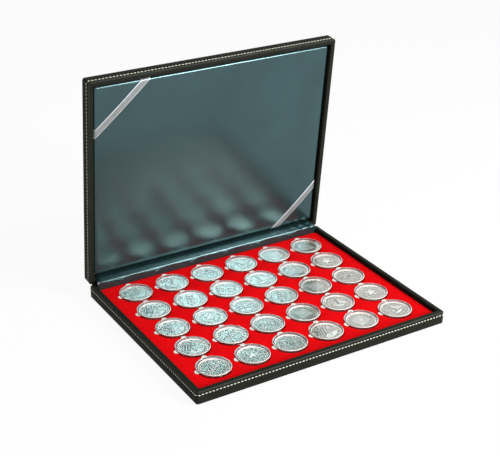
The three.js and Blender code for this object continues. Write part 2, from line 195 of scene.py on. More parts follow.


# %% [markdown]
# ## Leatherette
#
# The wrapping is PVC-coated paper, pebbled by a hot roller. Its pebbles are about one millimetre across: they break
# the light into a soft satin, and along the edges hands polish the coating and rub it paler; on the rim's outer roll
# that paler colour is also a painted highlight. Voronoi cells give the pebbles and a slower noise the uneven press of
# the roller. The near-black line along the mitred fold at each corner is painted shade in its crease. Each wrapped
# tray carries two attributes: one says where it is rubbed and where the rim gets its painted highlight, and from_fold
# how many millimetres a point of the rim is from the mitred fold at its corner.

# %% Pebbled leatherette: roller-embossed PVC on paper, near black with a green cast, satin, paler where it is rubbed, with a painted highlight on the rim's roll and painted shade along the corner folds
PEBBLE = 1.1
PRESS_PATCH = 26
PEBBLE_DEPTH = 0.16
FOLD_LINE = 0.7

LEATHERETTE, tree, shader = new_material("pebbled_leatherette", {"Specular IOR Level": 0.045})
place = add_node(tree, "ShaderNodeTexCoord").outputs["Object"]
pebbles = add_node(
    tree, "ShaderNodeTexVoronoi", {"Vector": place, "Scale": per_metre(PEBBLE)}, feature="SMOOTH_F1"
)
press = add_node(tree, "ShaderNodeTexNoise", {"Vector": place, "Scale": per_metre(PRESS_PATCH), "Detail": 4})
colour = add_node(tree, "ShaderNodeMix", {0: press, 6: "151712", 7: "20221c"}, data_type="RGBA")
# Wear on the edges: on the rim's outer roll its paler colour is partly a painted highlight.
wear = add_node(tree, "ShaderNodeAttribute", attribute_name="edge_wear_and_highlight").outputs["Fac"]
rubbed_and_highlit = add_node(tree, "ShaderNodeMath", {0: wear, 1: press}, operation="MULTIPLY")
worn = add_node(tree, "ShaderNodeMix", {0: rubbed_and_highlit, 6: colour.outputs[2], 7: "42463f"}, data_type="RGBA")
from_crease = add_node(tree, "ShaderNodeAttribute", attribute_name="from_fold").outputs["Fac"]
crease = add_node(
    tree,
    "ShaderNodeMapRange",
    {"Value": from_crease, "From Min": FOLD_LINE, "From Max": 0},
    interpolation_type="SMOOTHSTEP",
)
# The near-black line along each mitred fold is painted shade in its crease.
fold_shaded = add_node(tree, "ShaderNodeMix", {0: crease, 6: worn.outputs[2], 7: "070706"}, data_type="RGBA")
sunk = add_node(tree, "ShaderNodeMath", {0: pebbles, 1: crease}, operation="ADD")
gloss = add_node(tree, "ShaderNodeMapRange", {"Value": pebbles, "To Min": 0.5, "To Max": 0.7})
polished = add_node(tree, "ShaderNodeMix", {0: wear, 2: gloss, 3: 0.24}, data_type="FLOAT")
bump = add_node(
    tree, "ShaderNodeBump", {"Height": sunk, "Strength": 0.5, "Distance": PEBBLE_DEPTH * MM}, invert=True
)
give(shader, {"Base Color": fold_shaded.outputs[2], "Roughness": polished, "Normal": bump})
print("made", LEATHERETTE.name)

# %% [markdown]
# ## Skins through loops
#
# A wrapped tray, a coin and a capsule are all one skin through a row of loops that have as many points each. So one
# function joins loops, and another makes a mesh object of points in millimetres, smooth but for its real edges.

# %% Mesh helpers
SHARP_ANGLE = 38


def skin(loops, capped=False, cap_end=False):
    """Points and faces through loops. Loops run anticlockwise from above, in the order out and then down."""
    count = len(loops[0])
    steps = np.arange(count)
    ahead = np.roll(steps, -1)
    faces = []
    for this in range(0, (len(loops) - 1) * count, count):
        below = this + count
        faces += np.stack([this + steps, below + steps, below + ahead, this + ahead], 1).tolist()
    if capped:
        faces.append(list(range(count)))
    if capped or cap_end:
        faces.append(list(range(len(loops) * count - 1, (len(loops) - 1) * count - 1, -1)))
    return np.concatenate(loops), faces


def smooth_but_sharp(piece, sharp=SHARP_ANGLE):
    """Smooth shading, with an edge kept wherever two faces meet at more than the sharp angle."""
    piece.data.shade_smooth()
    piece.data.set_sharp_from_angle(angle=math.radians(sharp))


def piece_of(name, points, faces, material=None, sharp=SHARP_ANGLE, edges=()):
    """A mesh object of points in millimetres."""
    mesh = bpy.data.meshes.new(name)
    mesh.from_pydata((np.asarray(points) * MM).tolist(), edges, faces)
    if material:
        mesh.materials.append(material)
    piece = linked(name, mesh)
    if faces:
        smooth_but_sharp(piece, sharp)
    return piece


def points_of(piece):
    """The points of a piece's mesh, in metres."""
    return np.array([vertex.co for vertex in piece.data.vertices])


def store(piece, name, values):
    """Stores a number at each point of a piece, for its material to read."""
    piece.data.attributes.new(name, "FLOAT", "POINT")
    piece.data.attributes[name].data.foreach_set("value", values)


def baked(piece):
    """The piece with what its modifiers make as its own plain mesh."""
    depsgraph = bpy.context.evaluated_depsgraph_get()
    mesh = bpy.data.meshes.new_from_object(piece.evaluated_get(depsgraph), depsgraph=depsgraph)
    piece.modifiers.clear()
    piece.data = mesh
    mesh.name = piece.name
    return piece


def thicken(piece, thickness, side):
    """Gives a skin its thickness in millimetres, inwards where side is -1 and both ways where it is 0."""
    shell = piece.modifiers.new("thickness", "SOLIDIFY")
    shell.thickness = thickness * MM
    shell.offset = side
    baked(piece)


def combine(piece, operation, other):
    """Cuts the other piece away or joins it on, and removes it."""
    change = piece.modifiers.new("combine", "BOOLEAN")
    change.operation = operation
    change.solver = "EXACT"
    change.object = other
    baked(piece)
    bpy.data.objects.remove(other)


def close_up(piece, is_hole=None):
    """Drops loose points, fills the boundary edges that belong to a hole, and turns the faces outwards."""
    form = bmesh.new()
    form.from_mesh(piece.data)
    bmesh.ops.delete(form, geom=[point for point in form.verts if not point.link_faces], context="VERTS")
    if is_hole:
        rims = [edge for edge in form.edges if edge.is_boundary and is_hole(edge)]
        bmesh.ops.triangle_fill(form, edges=rims, use_beauty=True)
    bmesh.ops.recalc_face_normals(form, faces=form.faces)
    form.to_mesh(piece.data)
    form.free()


def triangles(piece):
    """How many triangles the piece's mesh has."""
    return sum(len(polygon.vertices) - 2 for polygon in piece.data.polygons)


def hand_in(piece, body=None, node=None):
    """Attaches a piece to the body it rides on and hides the frame node it replaces."""
    if body:
        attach(piece, body)
    if node:
        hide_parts(node)
    return piece


# %% [markdown]
# ## The wrapped trays
#
# The leatherette is wrapped round the boards: it covers the floor and the walls, rolls over the rim and is turned
# in a few millimetres inside. It could be a block that is hollowed out, but then it would have no thickness of its
# own and hard corners. Here its section runs from the turned-in end over the rim and down the wall to the floor, and
# is carried round the tray as a row of loops, with a fine groove where the thread pulls it in. Solidify then gives
# it its thickness inwards.

# %% Sizes of the wrapped trays
HALF_WIDTH, HALF_DEPTH, TRAY_HEIGHT = box_of("base_cover")[1]
SKIN = 0.9
RIM = 6.2
TURN_IN = 7
CORNER_RADIUS = 3
INNER_CORNER = 0.4
RIM_OUTER_ROLL = 1.5
RIM_INNER_ROLL = 1.3
FLOOR_ROLL = 1.7
STITCH_DROP = 3.8
STITCH_GROOVE = 0.3
GROOVE_HALF_WIDTH = 0.8
ROLL_STEPS = 6
CORNER_STEPS = 10
SIDE_STEPS = 40
FLOOR_LOOPS = (12, 60)
BLOCK = CORNER_STEPS + SIDE_STEPS
# The rim's share of the paler edge colour is partly a painted highlight.
RIM_WEAR_AND_HIGHLIGHT, FLOOR_WEAR, CORNER_WEAR = 0.9, 0.1, 0.3
WEAR_REACH = 0.7
CORNER_WEAR_REACH = 3
SPINE_HALF_LENGTH = 150
SPINE_NOTCH_DEPTH = 1.2
SPINE_NOTCH_BOTTOM = 5.5
print("tray", 2 * HALF_WIDTH, "by", 2 * HALF_DEPTH, "by", TRAY_HEIGHT, "mm")

# %% A tray's cover


def outline_loop(half_x, half_y, radius):
    """Points round a rectangle with round corners. The point count is the same for every size."""
    centres = [(half_x - radius, half_y - radius), (radius - half_x, half_y - radius)]
    centres += [(radius - half_x, radius - half_y), (half_x - radius, radius - half_y)]
    arcs = []
    for number, (x, y) in enumerate(centres):
        angles = math.tau / 4 * (number + np.linspace(0, 1, CORNER_STEPS + 1))
        arcs.append(np.stack([x + radius * np.cos(angles), y + radius * np.sin(angles)], 1))
    loop = []
    for arc, following in zip(arcs, arcs[1:] + arcs[:1]):
        loop += [arc, np.linspace(arc[-1], following[0], SIDE_STEPS + 1)[1:-1]]
    return np.concatenate(loop)


def at_height(plan, height):
    """The points of a plan, all at one height."""
    return np.column_stack([plan, np.full(len(plan), height)])


def roll(inset, height, radius, start):
    """Points (inset, height) of a quarter circle that starts at this share of a full turn."""
    angles = math.tau * (start + np.linspace(0, 1, ROLL_STEPS + 1) / 4)
    return [(inset + radius * math.cos(angle), height + radius * math.sin(angle)) for angle in angles]


def cover_loops(height):
    """The loops of a tray's wrapping, from its turned-in end over the rim and down to the floor."""
    stitch = height - STITCH_DROP
    section = [(RIM, height - TURN_IN)]
    section += roll(RIM - RIM_INNER_ROLL, height - RIM_INNER_ROLL, RIM_INNER_ROLL, 0)
    section += roll(RIM_OUTER_ROLL, height - RIM_OUTER_ROLL, RIM_OUTER_ROLL, 1 / 4)
    section += [(0, stitch + GROOVE_HALF_WIDTH), (STITCH_GROOVE, stitch), (0, stitch - GROOVE_HALF_WIDTH)]
    section += roll(FLOOR_ROLL, FLOOR_ROLL, FLOOR_ROLL, 1 / 2)
    loops = []
    for inset, level in section + [(inset, 0) for inset in FLOOR_LOOPS]:
        radius = max(CORNER_RADIUS - inset, INNER_CORNER)
        loops.append(at_height(outline_loop(HALF_WIDTH - inset, HALF_DEPTH - inset, radius), level))
    return loops


def edge_wear_and_highlight(x, y, z):
    """How much each point is rubbed, with a painted highlight on the rim's outer roll: on the rim's and the floor's
    outer edges, and most at the corners.
    """
    inset = np.minimum(HALF_WIDTH - abs(x), HALF_DEPTH - abs(y))
    drop = TRAY_HEIGHT - z
    rim = np.exp(-((inset - RIM_OUTER_ROLL / 3) ** 2 + (drop - RIM_OUTER_ROLL / 3) ** 2) / WEAR_REACH)
    floor = np.exp(-((inset - FLOOR_ROLL / 3) ** 2 + (z - FLOOR_ROLL / 3) ** 2) / WEAR_REACH)
    corner = np.exp(-np.hypot(HALF_WIDTH - abs(x), HALF_DEPTH - abs(y)) / CORNER_WEAR_REACH)
    return np.clip(RIM_WEAR_AND_HIGHLIGHT * rim + FLOOR_WEAR * floor + CORNER_WEAR * corner, 0, 1)


def from_fold(x, y, z):
    """How far each point of the rim's top is from the mitred fold, and a large value below the rim."""
    sideways = abs((abs(x) - HALF_WIDTH) - (abs(y) - HALF_DEPTH))
    return np.where(z > TRAY_HEIGHT - RIM_OUTER_ROLL, sideways, RIM)


def wrapped_tray(name, node, body, place, hinge_side):
    """The leatherette of a tray, with the strip cut away on the hinge side where the spine is glued on."""
    cover = piece_of(name, *skin(cover_loops(TRAY_HEIGHT), cap_end=True), LEATHERETTE)
    thicken(cover, SKIN, -1)
    size = Vector((2 * SPINE_HALF_LENGTH, 2 * SPINE_NOTCH_DEPTH, 2 * TRAY_HEIGHT)) * MM
    middle = Vector((0, hinge_side * HALF_DEPTH, SPINE_NOTCH_BOTTOM + TRAY_HEIGHT)) * MM
    notch = bpy.data.meshes.new("spine_notch")
    form = bmesh.new()
    bmesh.ops.create_cube(form, size=1, matrix=Matrix.LocRotScale(middle, None, size))
    form.to_mesh(notch)
    form.free()
    combine(cover, "DIFFERENCE", linked("spine_notch", notch))
    at = points_of(cover).T / MM
    store(cover, "edge_wear_and_highlight", edge_wear_and_highlight(*at))
    store(cover, "from_fold", from_fold(*at))
    cover.data.transform(place)
    smooth_but_sharp(cover)
    hand_in(cover, body, node)
    print(name, triangles(cover), "triangles")


wrapped_tray("base_wrapping", "base_cover", "base", BASE_PLACE, 1)
wrapped_tray("lid_wrapping", "lid_cover", "lid", LID_PLACE, -1)

# %% [markdown]
# ## Trees that grow a piece
#
# Stitches, strips that follow a path and the panel with its grid of seats are made by Geometry Nodes. Each tree has
# named inputs for its sizes. The helper sets them by the sockets' identifiers before the first evaluation and keeps
# the result as a plain mesh, since an exported model knows nothing of modifiers or instances.

# %% Helpers for Geometry Nodes
GEOMETRY = "NodeSocketGeometry"
LENGTH = "NodeSocketFloat"
WHOLE = "NodeSocketInt"
DIRECTION = "NodeSocketVector"
MATERIAL = "NodeSocketMaterial"


def growing_tree(name, inputs):
    """A Geometry Nodes tree with geometry in and out, a material and the named inputs, and its input node."""
    tree = bpy.data.node_groups.new(name, "GeometryNodeTree")
    tree.interface.new_socket("Geometry", in_out="OUTPUT", socket_type=GEOMETRY)
    for label, kind in ({"Geometry": GEOMETRY} | inputs | {"Material": MATERIAL}).items():
        tree.interface.new_socket(label, in_out="INPUT", socket_type=kind)
    return tree, add_node(tree, "NodeGroupInput").outputs


def end_tree(tree, geometry, given):
    """Ends a tree: instances become real and get the material."""
    real = add_node(tree, "GeometryNodeRealizeInstances", {"Geometry": geometry})
    painted = add_node(tree, "GeometryNodeSetMaterial", {"Geometry": real, "Material": given["Material"]})
    add_node(tree, "NodeGroupOutput", {"Geometry": painted})


def joined(tree, parts):
    """Several geometries of a tree as one."""
    whole = add_node(tree, "GeometryNodeJoinGeometry")
    for part in parts:
        give(whole, {0: part})
    return whole


def grown(piece, tree, values, material):
    """Runs a tree on a piece with these values and keeps the result as the piece's plain mesh."""
    values = values | {"Material": material}
    modifier = piece.modifiers.new(tree.name, "NODES")
    modifier.node_group = tree
    for socket in tree.interface.items_tree:
        if socket.in_out == "INPUT" and socket.name in values:
            modifier[socket.identifier] = values[socket.name]
    return baked(piece)


def path_object(name, points):
    """A mesh of one open row of edges through points in millimetres, for a tree to follow."""
    return piece_of(name, points, [], edges=[(n, n + 1) for n in range(len(points) - 1)])


# %% [markdown]
# ## Stitching
#
# A cream thread runs round three sides of each tray just under the rim, in stitches of four millimetres: about
# three show and one is under the surface. A texture of dashes would lie flat, so each stitch is a small thread of
# its own. The tree cuts the path to the stitch length, sets one thread along it at each point with a slight turn of
# its own, and makes them real.

# %% Twisted polyester thread: cream, of two plies, a soft sheen broken by the twist
THREAD_TWIST = 0.45

THREAD = two_tone(
    "twisted_polyester_thread",
    {"Roughness": 0.62, "Sheen Weight": 0.3, "Specular IOR Level": 0.3},
    [("ShaderNodeTexNoise", THREAD_TWIST, {})],
    "b9b7a2", "efeddc", 0.6, THREAD_TWIST / 2,
)

# %% The stitching tree: threads of one length set along a path, each turned a little by its own chance
STITCH_PITCH = 4
STITCH_SEEN = 3.1
THREAD_WIDTH = 0.95
THREAD_PROUD = 0.05
STITCH_TURN = 0.06
STITCH_SEED = 7
THREAD_SIDES = 8
THREAD_RINGS = 5

STITCHES, given = growing_tree("stitches", {"Pitch": LENGTH, "Seen length": LENGTH, "Thread width": LENGTH})
path = add_node(STITCHES, "GeometryNodeMeshToCurve", {"Mesh": given["Geometry"]})
spaced = add_node(STITCHES, "GeometryNodeResampleCurve", {"Curve": path, "Length": given["Pitch"]}, mode="LENGTH")
ball = {"Segments": THREAD_SIDES, "Rings": THREAD_RINGS, "Radius": 1 / 2}
bead = add_node(STITCHES, "GeometryNodeMeshUVSphere", ball)
size = add_node(
    STITCHES,
    "ShaderNodeCombineXYZ",
    {"X": given["Seen length"], "Y": given["Thread width"], "Z": given["Thread width"]},
)
thread = add_node(STITCHES, "GeometryNodeTransform", {"Geometry": bead, "Scale": size})
chance = add_node(
    STITCHES,
    "FunctionNodeRandomValue",
    {"Min": (-STITCH_TURN,) * 3, "Max": (STITCH_TURN,) * 3, "Seed": STITCH_SEED},
    data_type="FLOAT_VECTOR",
)
tangent = add_node(STITCHES, "GeometryNodeInputTangent")
leaning = add_node(STITCHES, "ShaderNodeVectorMath", {0: tangent, 1: chance}, operation="ADD")
aim = add_node(STITCHES, "FunctionNodeAlignRotationToVector", {"Vector": leaning}, axis="X")
threads = add_node(STITCHES, "GeometryNodeInstanceOnPoints", {"Points": spaced, "Instance": thread, "Rotation": aim})
end_tree(STITCHES, threads, given)

# %% Stitch both trays


def stitched(name, body, place, first_corner):
    """The stitches of a tray, along the three sides after its first corner."""
    plan = outline_loop(HALF_WIDTH + THREAD_PROUD, HALF_DEPTH + THREAD_PROUD, CORNER_RADIUS)
    plan = np.roll(plan, -first_corner * BLOCK - CORNER_STEPS, axis=0)[:3 * BLOCK - CORNER_STEPS + 1]
    stitches = path_object(name, at_height(plan, TRAY_HEIGHT - STITCH_DROP))
    values = {"Pitch": STITCH_PITCH * MM, "Seen length": STITCH_SEEN * MM, "Thread width": THREAD_WIDTH * MM}
    grown(stitches, STITCHES, values, THREAD)
    stitches.data.transform(place)
    stitches.data.shade_smooth()
    hand_in(stitches, body)
    print(name, triangles(stitches), "triangles")


stitched("base_stitches", "base", BASE_PLACE, 1)
stitched("lid_stitches", "lid", LID_PLACE, 3)

# %% [markdown]
# ## The spine and the satin web
#
# Two strips cross the hinge. Outside, the leatherette spine is glued to both trays and bends between them. Inside,
# a strip of satin runs up over the flap's card, bulges, and is glued to the lid. Both are a flat strip that follows
# a path across the hinge, so one tree makes them: it sweeps a straight line, as wide as the case, along the path.
# The pieces bend between the two trays, so the path has many short steps.

# %% The strip tree: a line swept along a path
STRIP_STEP = 0.55
SPINE_COLUMNS = 90
BEND_STEPS = 12
FOLD_STEPS = 5

STRIP, given = growing_tree("strip", {"Width": LENGTH, "Step": LENGTH, "Columns": WHOLE, "Across": DIRECTION})
path = add_node(STRIP, "GeometryNodeMeshToCurve", {"Mesh": given["Geometry"]})
fine = add_node(STRIP, "GeometryNodeResampleCurve", {"Curve": path, "Length": given["Step"]}, mode="LENGTH")
turned = add_node(STRIP, "GeometryNodeSetCurveNormal", {"Curve": fine, "Normal": given["Across"]}, mode="FREE")
ends = []
for share in (-0.5, 0.5):
    half = add_node(STRIP, "ShaderNodeMath", {0: given["Width"], 1: share}, operation="MULTIPLY")
    ends.append(add_node(STRIP, "ShaderNodeCombineXYZ", {"X": half}))
line = add_node(STRIP, "GeometryNodeCurvePrimitiveLine", {"Start": ends[0], "End": ends[1]})
columns = add_node(STRIP, "GeometryNodeResampleCurve", {"Curve": line, "Count": given["Columns"]}, mode="COUNT")
swept = add_node(STRIP, "GeometryNodeCurveToMesh", {"Curve": turned, "Profile Curve": columns})
end_tree(STRIP, swept, given)


def strip_along(name, points, width, material, columns):
    """A strip across the hinge, as wide as the case, along a path given as (y, z) in millimetres."""
    strip = path_object(name, [(0, y, z) for y, z in points])
    values = {"Width": width * MM, "Step": STRIP_STEP * MM, "Columns": columns, "Across": (1, 0, 0)}
    return grown(strip, STRIP, values, material)


def bent(start, control, end, steps=BEND_STEPS):
    """Points of a quadratic curve from start to end, drawn towards the control point."""
    share = np.linspace(0, 1, steps + 1)[:, None]
    start, control, end = np.array(start), np.array(control), np.array(end)
    return (1 - share) ** 2 * start + 2 * share * (1 - share) * control + share ** 2 * end


def lid_point(y, z):
    """A point of the lid's own section as (y, z) of the base."""
    point = LID_PLACE @ (Vector((0, y, z)) * MM) / MM
    return np.array((point.y, point.z))


# %% Spine
SPINE_WIDTH = 299.4
SPINE_BAND = 9
SPINE_BEND = 1.2
pivot_y, pivot_z = PIVOT.y / MM, PIVOT.z / MM
bend_start = np.array((pivot_y, pivot_z - SPINE_BEND))
bend_end = lid_point(-pivot_y, pivot_z - SPINE_BEND)
spine_end = lid_point(-pivot_y, pivot_z - SPINE_BAND)
spine_path = [(pivot_y, pivot_z - SPINE_BAND), *bent(bend_start, (pivot_y, pivot_z), bend_end), spine_end]
spine = strip_along("leatherette_spine", spine_path, SPINE_WIDTH, LEATHERETTE, SPINE_COLUMNS)
thicken(spine, SKIN, 0)
smooth_but_sharp(spine)
store(spine, "from_fold", [RIM] * len(spine.data.vertices))
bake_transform(spine)
hand_in(spine, node="hinge_spine")
print("spine", triangles(spine), "triangles")

# %% [markdown]
# ## Satin
#
# The web and the lid's lining are a blue-grey polyester satin. Its long floats lie side by side like fine rods, so
# the cloth mirrors softly, far more than a plain weave does, and shows blurred images of the coins in front of it.
# The floats are a fifth of a millimetre wide; they are drawn coarser here, or they would vanish.

# %% Woven polyester satin: long filament floats, blue-grey with soft white reflections
FLOAT_DRAWN = 0.7
FLOAT_STRETCH = 0.08
SATIN_PATCH = 45
FLOAT_HEIGHT = 0.1

SATIN, tree, shader = new_material("woven_polyester_satin", {"Metallic": 0.62, "Specular IOR Level": 1})
place = add_node(tree, "ShaderNodeTexCoord").outputs["Object"]
stretched = add_node(tree, "ShaderNodeMapping", {"Vector": place, "Scale": (1, FLOAT_STRETCH, FLOAT_STRETCH)})
floats = add_node(tree, "ShaderNodeTexNoise", {"Vector": stretched, "Scale": per_metre(FLOAT_DRAWN), "Detail": 2})
patch = add_node(tree, "ShaderNodeTexNoise", {"Vector": place, "Scale": per_metre(SATIN_PATCH)})
both = add_node(tree, "ShaderNodeMath", {0: floats, 1: patch}, operation="MULTIPLY")
colour = add_node(tree, "ShaderNodeMix", {0: both, 6: "254043", 7: "3d6063"}, data_type="RGBA")
gloss = add_node(tree, "ShaderNodeMapRange", {"Value": patch, "To Min": 0.2, "To Max": 0.26})
bump = add_node(tree, "ShaderNodeBump", {"Height": floats, "Strength": 0.25, "Distance": FLOAT_HEIGHT * MM})
give(shader, {"Base Color": colour.outputs[2], "Roughness": gloss, "Normal": bump})
print("made", SATIN.name)

# %% Web of satin over the flap
SATIN_THICKNESS = 0.4
WEB_WIDTH = 292
WEB_COLUMNS = 180
WEB_FOOT = 3.9
WEB_RUN = 114.7
WEB_RIDGE = 19.5
WEB_GLUED = 3.5
WEB_ANCHOR = 4.9
WEB_CROWN = 0.7
WEB_FOLD = 1
WEB_END_CURL = 3.2
WEB_END_WIDTH = 4
WEB_RIPPLE = 0.02
RIPPLE_REACHES = (7.3, 17.9)
WEB_PUCKER = 0.55
WEB_PUCKER_REACH = 40
PUCKER_REACHES = (1.9, 3)
LID_WALL_INSIDE = -116.3

web_ridge = np.array((WEB_RUN, WEB_RIDGE))
web_anchor = lid_point(LID_WALL_INSIDE, TRAY_HEIGHT - WEB_ANCHOR)
web_end = lid_point(LID_WALL_INSIDE, TRAY_HEIGHT - WEB_ANCHOR - WEB_GLUED)
chord = (web_anchor - web_ridge) / np.linalg.norm(web_anchor - web_ridge)
web_control = (web_ridge + web_anchor) / 2 + 2 * WEB_CROWN * np.array((-chord[1], chord[0]))
fold_end = web_ridge + WEB_FOLD * chord
fold = bent(web_ridge - (0, WEB_FOLD), web_ridge, fold_end, FOLD_STEPS)
web_path = [(WEB_RUN, WEB_FOOT), *fold, *bent(fold_end, web_control, web_anchor)[1:], web_end]
print("web from", web_ridge, "to", web_anchor, "and", web_end)

# %% Shape the web
web = strip_along("satin_web", web_path, WEB_WIDTH, SATIN, WEB_COLUMNS)
at = points_of(web) / MM
x, y, z = at.T
curl = np.clip(1 - (WEB_WIDTH / 2 - abs(x)) / WEB_END_WIDTH, 0, 1) ** 2 * WEB_END_CURL
free = np.clip((z - TRAY_HEIGHT) / (WEB_RIDGE - TRAY_HEIGHT), 0, 1)
ripple = np.sin(x / RIPPLE_REACHES[0]) + np.sin(x / RIPPLE_REACHES[1] + 1)
to_right_end = np.clip(1 - (WEB_WIDTH / 2 - x) / WEB_PUCKER_REACH, 0, 1)
pucker = to_right_end * np.sin(x / PUCKER_REACHES[0] + y / PUCKER_REACHES[1])
at[:, 2] += (ripple * WEB_RIPPLE + pucker * WEB_PUCKER - curl) * free
web.data.vertices.foreach_set("co", (at * MM).ravel())
thicken(web, SATIN_THICKNESS, 0)
web.data.shade_smooth()
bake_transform(web)
hand_in(web, node="hinge_web")

# %% [markdown]
# ## The flocked panel
#
# Fine red fibre is shot on to a glued board with thirty holes, and it rounds every edge softly. The panel follows a
# rule: one outline, one grid and one circle. The tree puts a circle at each point of the grid, fills the face
# between outline and circles, and sweeps a rounded lip and a wall along all of them. The circles run the other way
# round from the outline, so that one profile rolls outwards on the rim and inwards on every seat.

# %% Rayon flock, shot on to glue: matt saturated red, a fine nap that scatters a little more at grazing light
FLOCK_TUFT = 0.8
FLOCK_CLOUD = 14
FLOCK_NAP = 0.25

FLOCK = two_tone(
    "rayon_flock",
    {"Roughness": 0.95, "Specular IOR Level": 0.05, "Sheen Weight": 0.06, "Sheen Tint": "ff3a30"},
    [("ShaderNodeTexNoise", FLOCK_TUFT, {"Detail": 3}), ("ShaderNodeTexNoise", FLOCK_CLOUD, {})],
    "d8030a", "f40910", 0.35, FLOCK_NAP,
)

# %% The panel tree: a plate with a grid of round holes, its upper edges rolled over by a lip
COLUMNS = 6
ROWS = 5
CAPSULE_RADIUS = 18.5
SEAT_GAP = 0.3
PANEL_CORNER = 4
PANEL_LIP = 1
LIP_STEPS = 5
CORNER_POINTS = 9
SEAT_POINTS = 72
MERGE_DISTANCE = 0.02

sizes = {name: LENGTH for name in ("Width", "Depth", "Corner", "Seat radius", "Lip", "Thickness")}
sizes |= {"Column pitch": LENGTH, "Row pitch": LENGTH, "Columns": WHOLE, "Rows": WHOLE, "Grid middle": DIRECTION}
PANEL, given = growing_tree("flocked_panel", sizes)
lip_size = given["Lip"]
two_lips = add_node(PANEL, "ShaderNodeMath", {0: lip_size, 1: 2}, operation="MULTIPLY")
width = add_node(PANEL, "ShaderNodeMath", {0: given["Width"], 1: two_lips}, operation="SUBTRACT")
depth = add_node(PANEL, "ShaderNodeMath", {0: given["Depth"], 1: two_lips}, operation="SUBTRACT")
outline = add_node(PANEL, "GeometryNodeCurvePrimitiveQuadrilateral", {"Width": width, "Height": depth})
corner = add_node(PANEL, "ShaderNodeMath", {0: given["Corner"], 1: lip_size}, operation="SUBTRACT")
rounded = add_node(
    PANEL, "GeometryNodeFilletCurve", {"Curve": outline, "Count": CORNER_POINTS, "Radius": corner}, mode="POLY"
)
grid = add_node(PANEL, "GeometryNodeMeshGrid", {"Vertices X": given["Columns"], "Vertices Y": given["Rows"]})
for count, pitch, side in (("Columns", "Column pitch", "Size X"), ("Rows", "Row pitch", "Size Y")):
    gaps = add_node(PANEL, "ShaderNodeMath", {0: given[count], 1: 1}, operation="SUBTRACT")
    span = add_node(PANEL, "ShaderNodeMath", {0: gaps, 1: given[pitch]}, operation="MULTIPLY")
    give(grid, {side: span})
seats = add_node(PANEL, "GeometryNodeTransform", {"Geometry": grid, "Translation": given["Grid middle"]})
seat_edge = add_node(PANEL, "ShaderNodeMath", {0: given["Seat radius"], 1: lip_size}, operation="ADD")
circle = add_node(PANEL, "GeometryNodeCurvePrimitiveCircle", {"Resolution": SEAT_POINTS, "Radius": seat_edge})
reversed_circle = add_node(PANEL, "GeometryNodeReverseCurve", {"Curve": circle})
placed = add_node(PANEL, "GeometryNodeInstanceOnPoints", {"Points": seats, "Instance": reversed_circle})
holes = add_node(PANEL, "GeometryNodeRealizeInstances", {"Geometry": placed})
edges = joined(PANEL, (holes, rounded))
upright = add_node(PANEL, "GeometryNodeSetCurveNormal", {"Curve": edges}, mode="Z_UP")
face = add_node(PANEL, "GeometryNodeFillCurve", {"Curve": edges}, mode="TRIANGLES")
quarter = add_node(
    PANEL,
    "GeometryNodeCurveArc",
    {"Resolution": LIP_STEPS, "Radius": lip_size, "Start Angle": -math.tau / 4, "Sweep Angle": math.tau / 4},
    mode="RADIUS",
)
lip_down = add_node(PANEL, "ShaderNodeCombineXYZ", {"Y": lip_size})
lip_foot = add_node(PANEL, "ShaderNodeCombineXYZ", {"X": lip_size, "Y": lip_size})
wall_foot = add_node(PANEL, "ShaderNodeCombineXYZ", {"X": lip_size, "Y": given["Thickness"]})
lowered = add_node(PANEL, "GeometryNodeTransform", {"Geometry": quarter, "Translation": lip_down})
lip = add_node(PANEL, "GeometryNodeCurveToMesh", {"Curve": upright, "Profile Curve": lowered})
wall_line = add_node(PANEL, "GeometryNodeCurvePrimitiveLine", {"Start": lip_foot, "End": wall_foot})
wall = add_node(PANEL, "GeometryNodeCurveToMesh", {"Curve": upright, "Profile Curve": wall_line})
whole = joined(PANEL, (face, lip, wall))
merged = add_node(PANEL, "GeometryNodeMergeByDistance", {"Geometry": whole, "Distance": MERGE_DISTANCE * MM})
end_tree(PANEL, merged, given)

# %% Make the panel
panel_low, panel_high = box_of("flocked_panel")
first_low, first_high = box_of("capsule_r1_c1")
last_low, last_high = box_of(f"capsule_r{ROWS}_c{COLUMNS}")
FIRST_SEAT = np.array((first_high[0] - CAPSULE_RADIUS, first_low[1] + CAPSULE_RADIUS))
LAST_SEAT = np.array((last_high[0] - CAPSULE_RADIUS, last_low[1] + CAPSULE_RADIUS))
PITCH = (LAST_SEAT - FIRST_SEAT) / (COLUMNS - 1, ROWS - 1)
panel_middle = (panel_low + panel_high) / 2
panel_size = (panel_high - panel_low) * MM
grid_middle = (FIRST_SEAT + LAST_SEAT) / 2 - panel_middle[:2]
panel = piece_of("red_flocked_panel", [(0, 0, 0)], [], FLOCK)
lengths = {"Corner": PANEL_CORNER, "Seat radius": CAPSULE_RADIUS + SEAT_GAP, "Lip": PANEL_LIP}
lengths |= {"Column pitch": PITCH[0], "Row pitch": PITCH[1]}
values = dict(zip(("Width", "Depth", "Thickness"), panel_size)) | {"Columns": COLUMNS, "Rows": ROWS}
values |= {name: length * MM for name, length in lengths.items()}
grown(panel, PANEL, values | {"Grid middle": (*grid_middle * MM, 0)}, FLOCK)
panel.data.transform(Matrix.Translation(Vector((*panel_middle[:2], panel_high[2])) * MM))
close_up(panel, lambda edge: True)
smooth_but_sharp(panel)
hand_in(panel, "base", "flocked_panel")
print("panel", triangles(panel), "triangles, pitch", PITCH.round(2), "mm")

# %% [markdown]
# ## The padded lining
#
# The lid's lining is foam on a card, wrapped in satin whose edges are folded behind the card. It is nearly flat in
# the middle and rolls over at its edges. Its skin is loops like the trays' wrapping, which keeps the roll crisp. How
# the satin swells between its edges comes from a short cloth simulation of a remeshed copy, blown up while its sides
# are held. Foam swells far less than air does and evens out what the cloth does in small, so the rise is averaged
# over the width of a hand's palm and scaled down to a millimetre. The back stays open behind the folded edge, and
# the satin gets its own thickness.

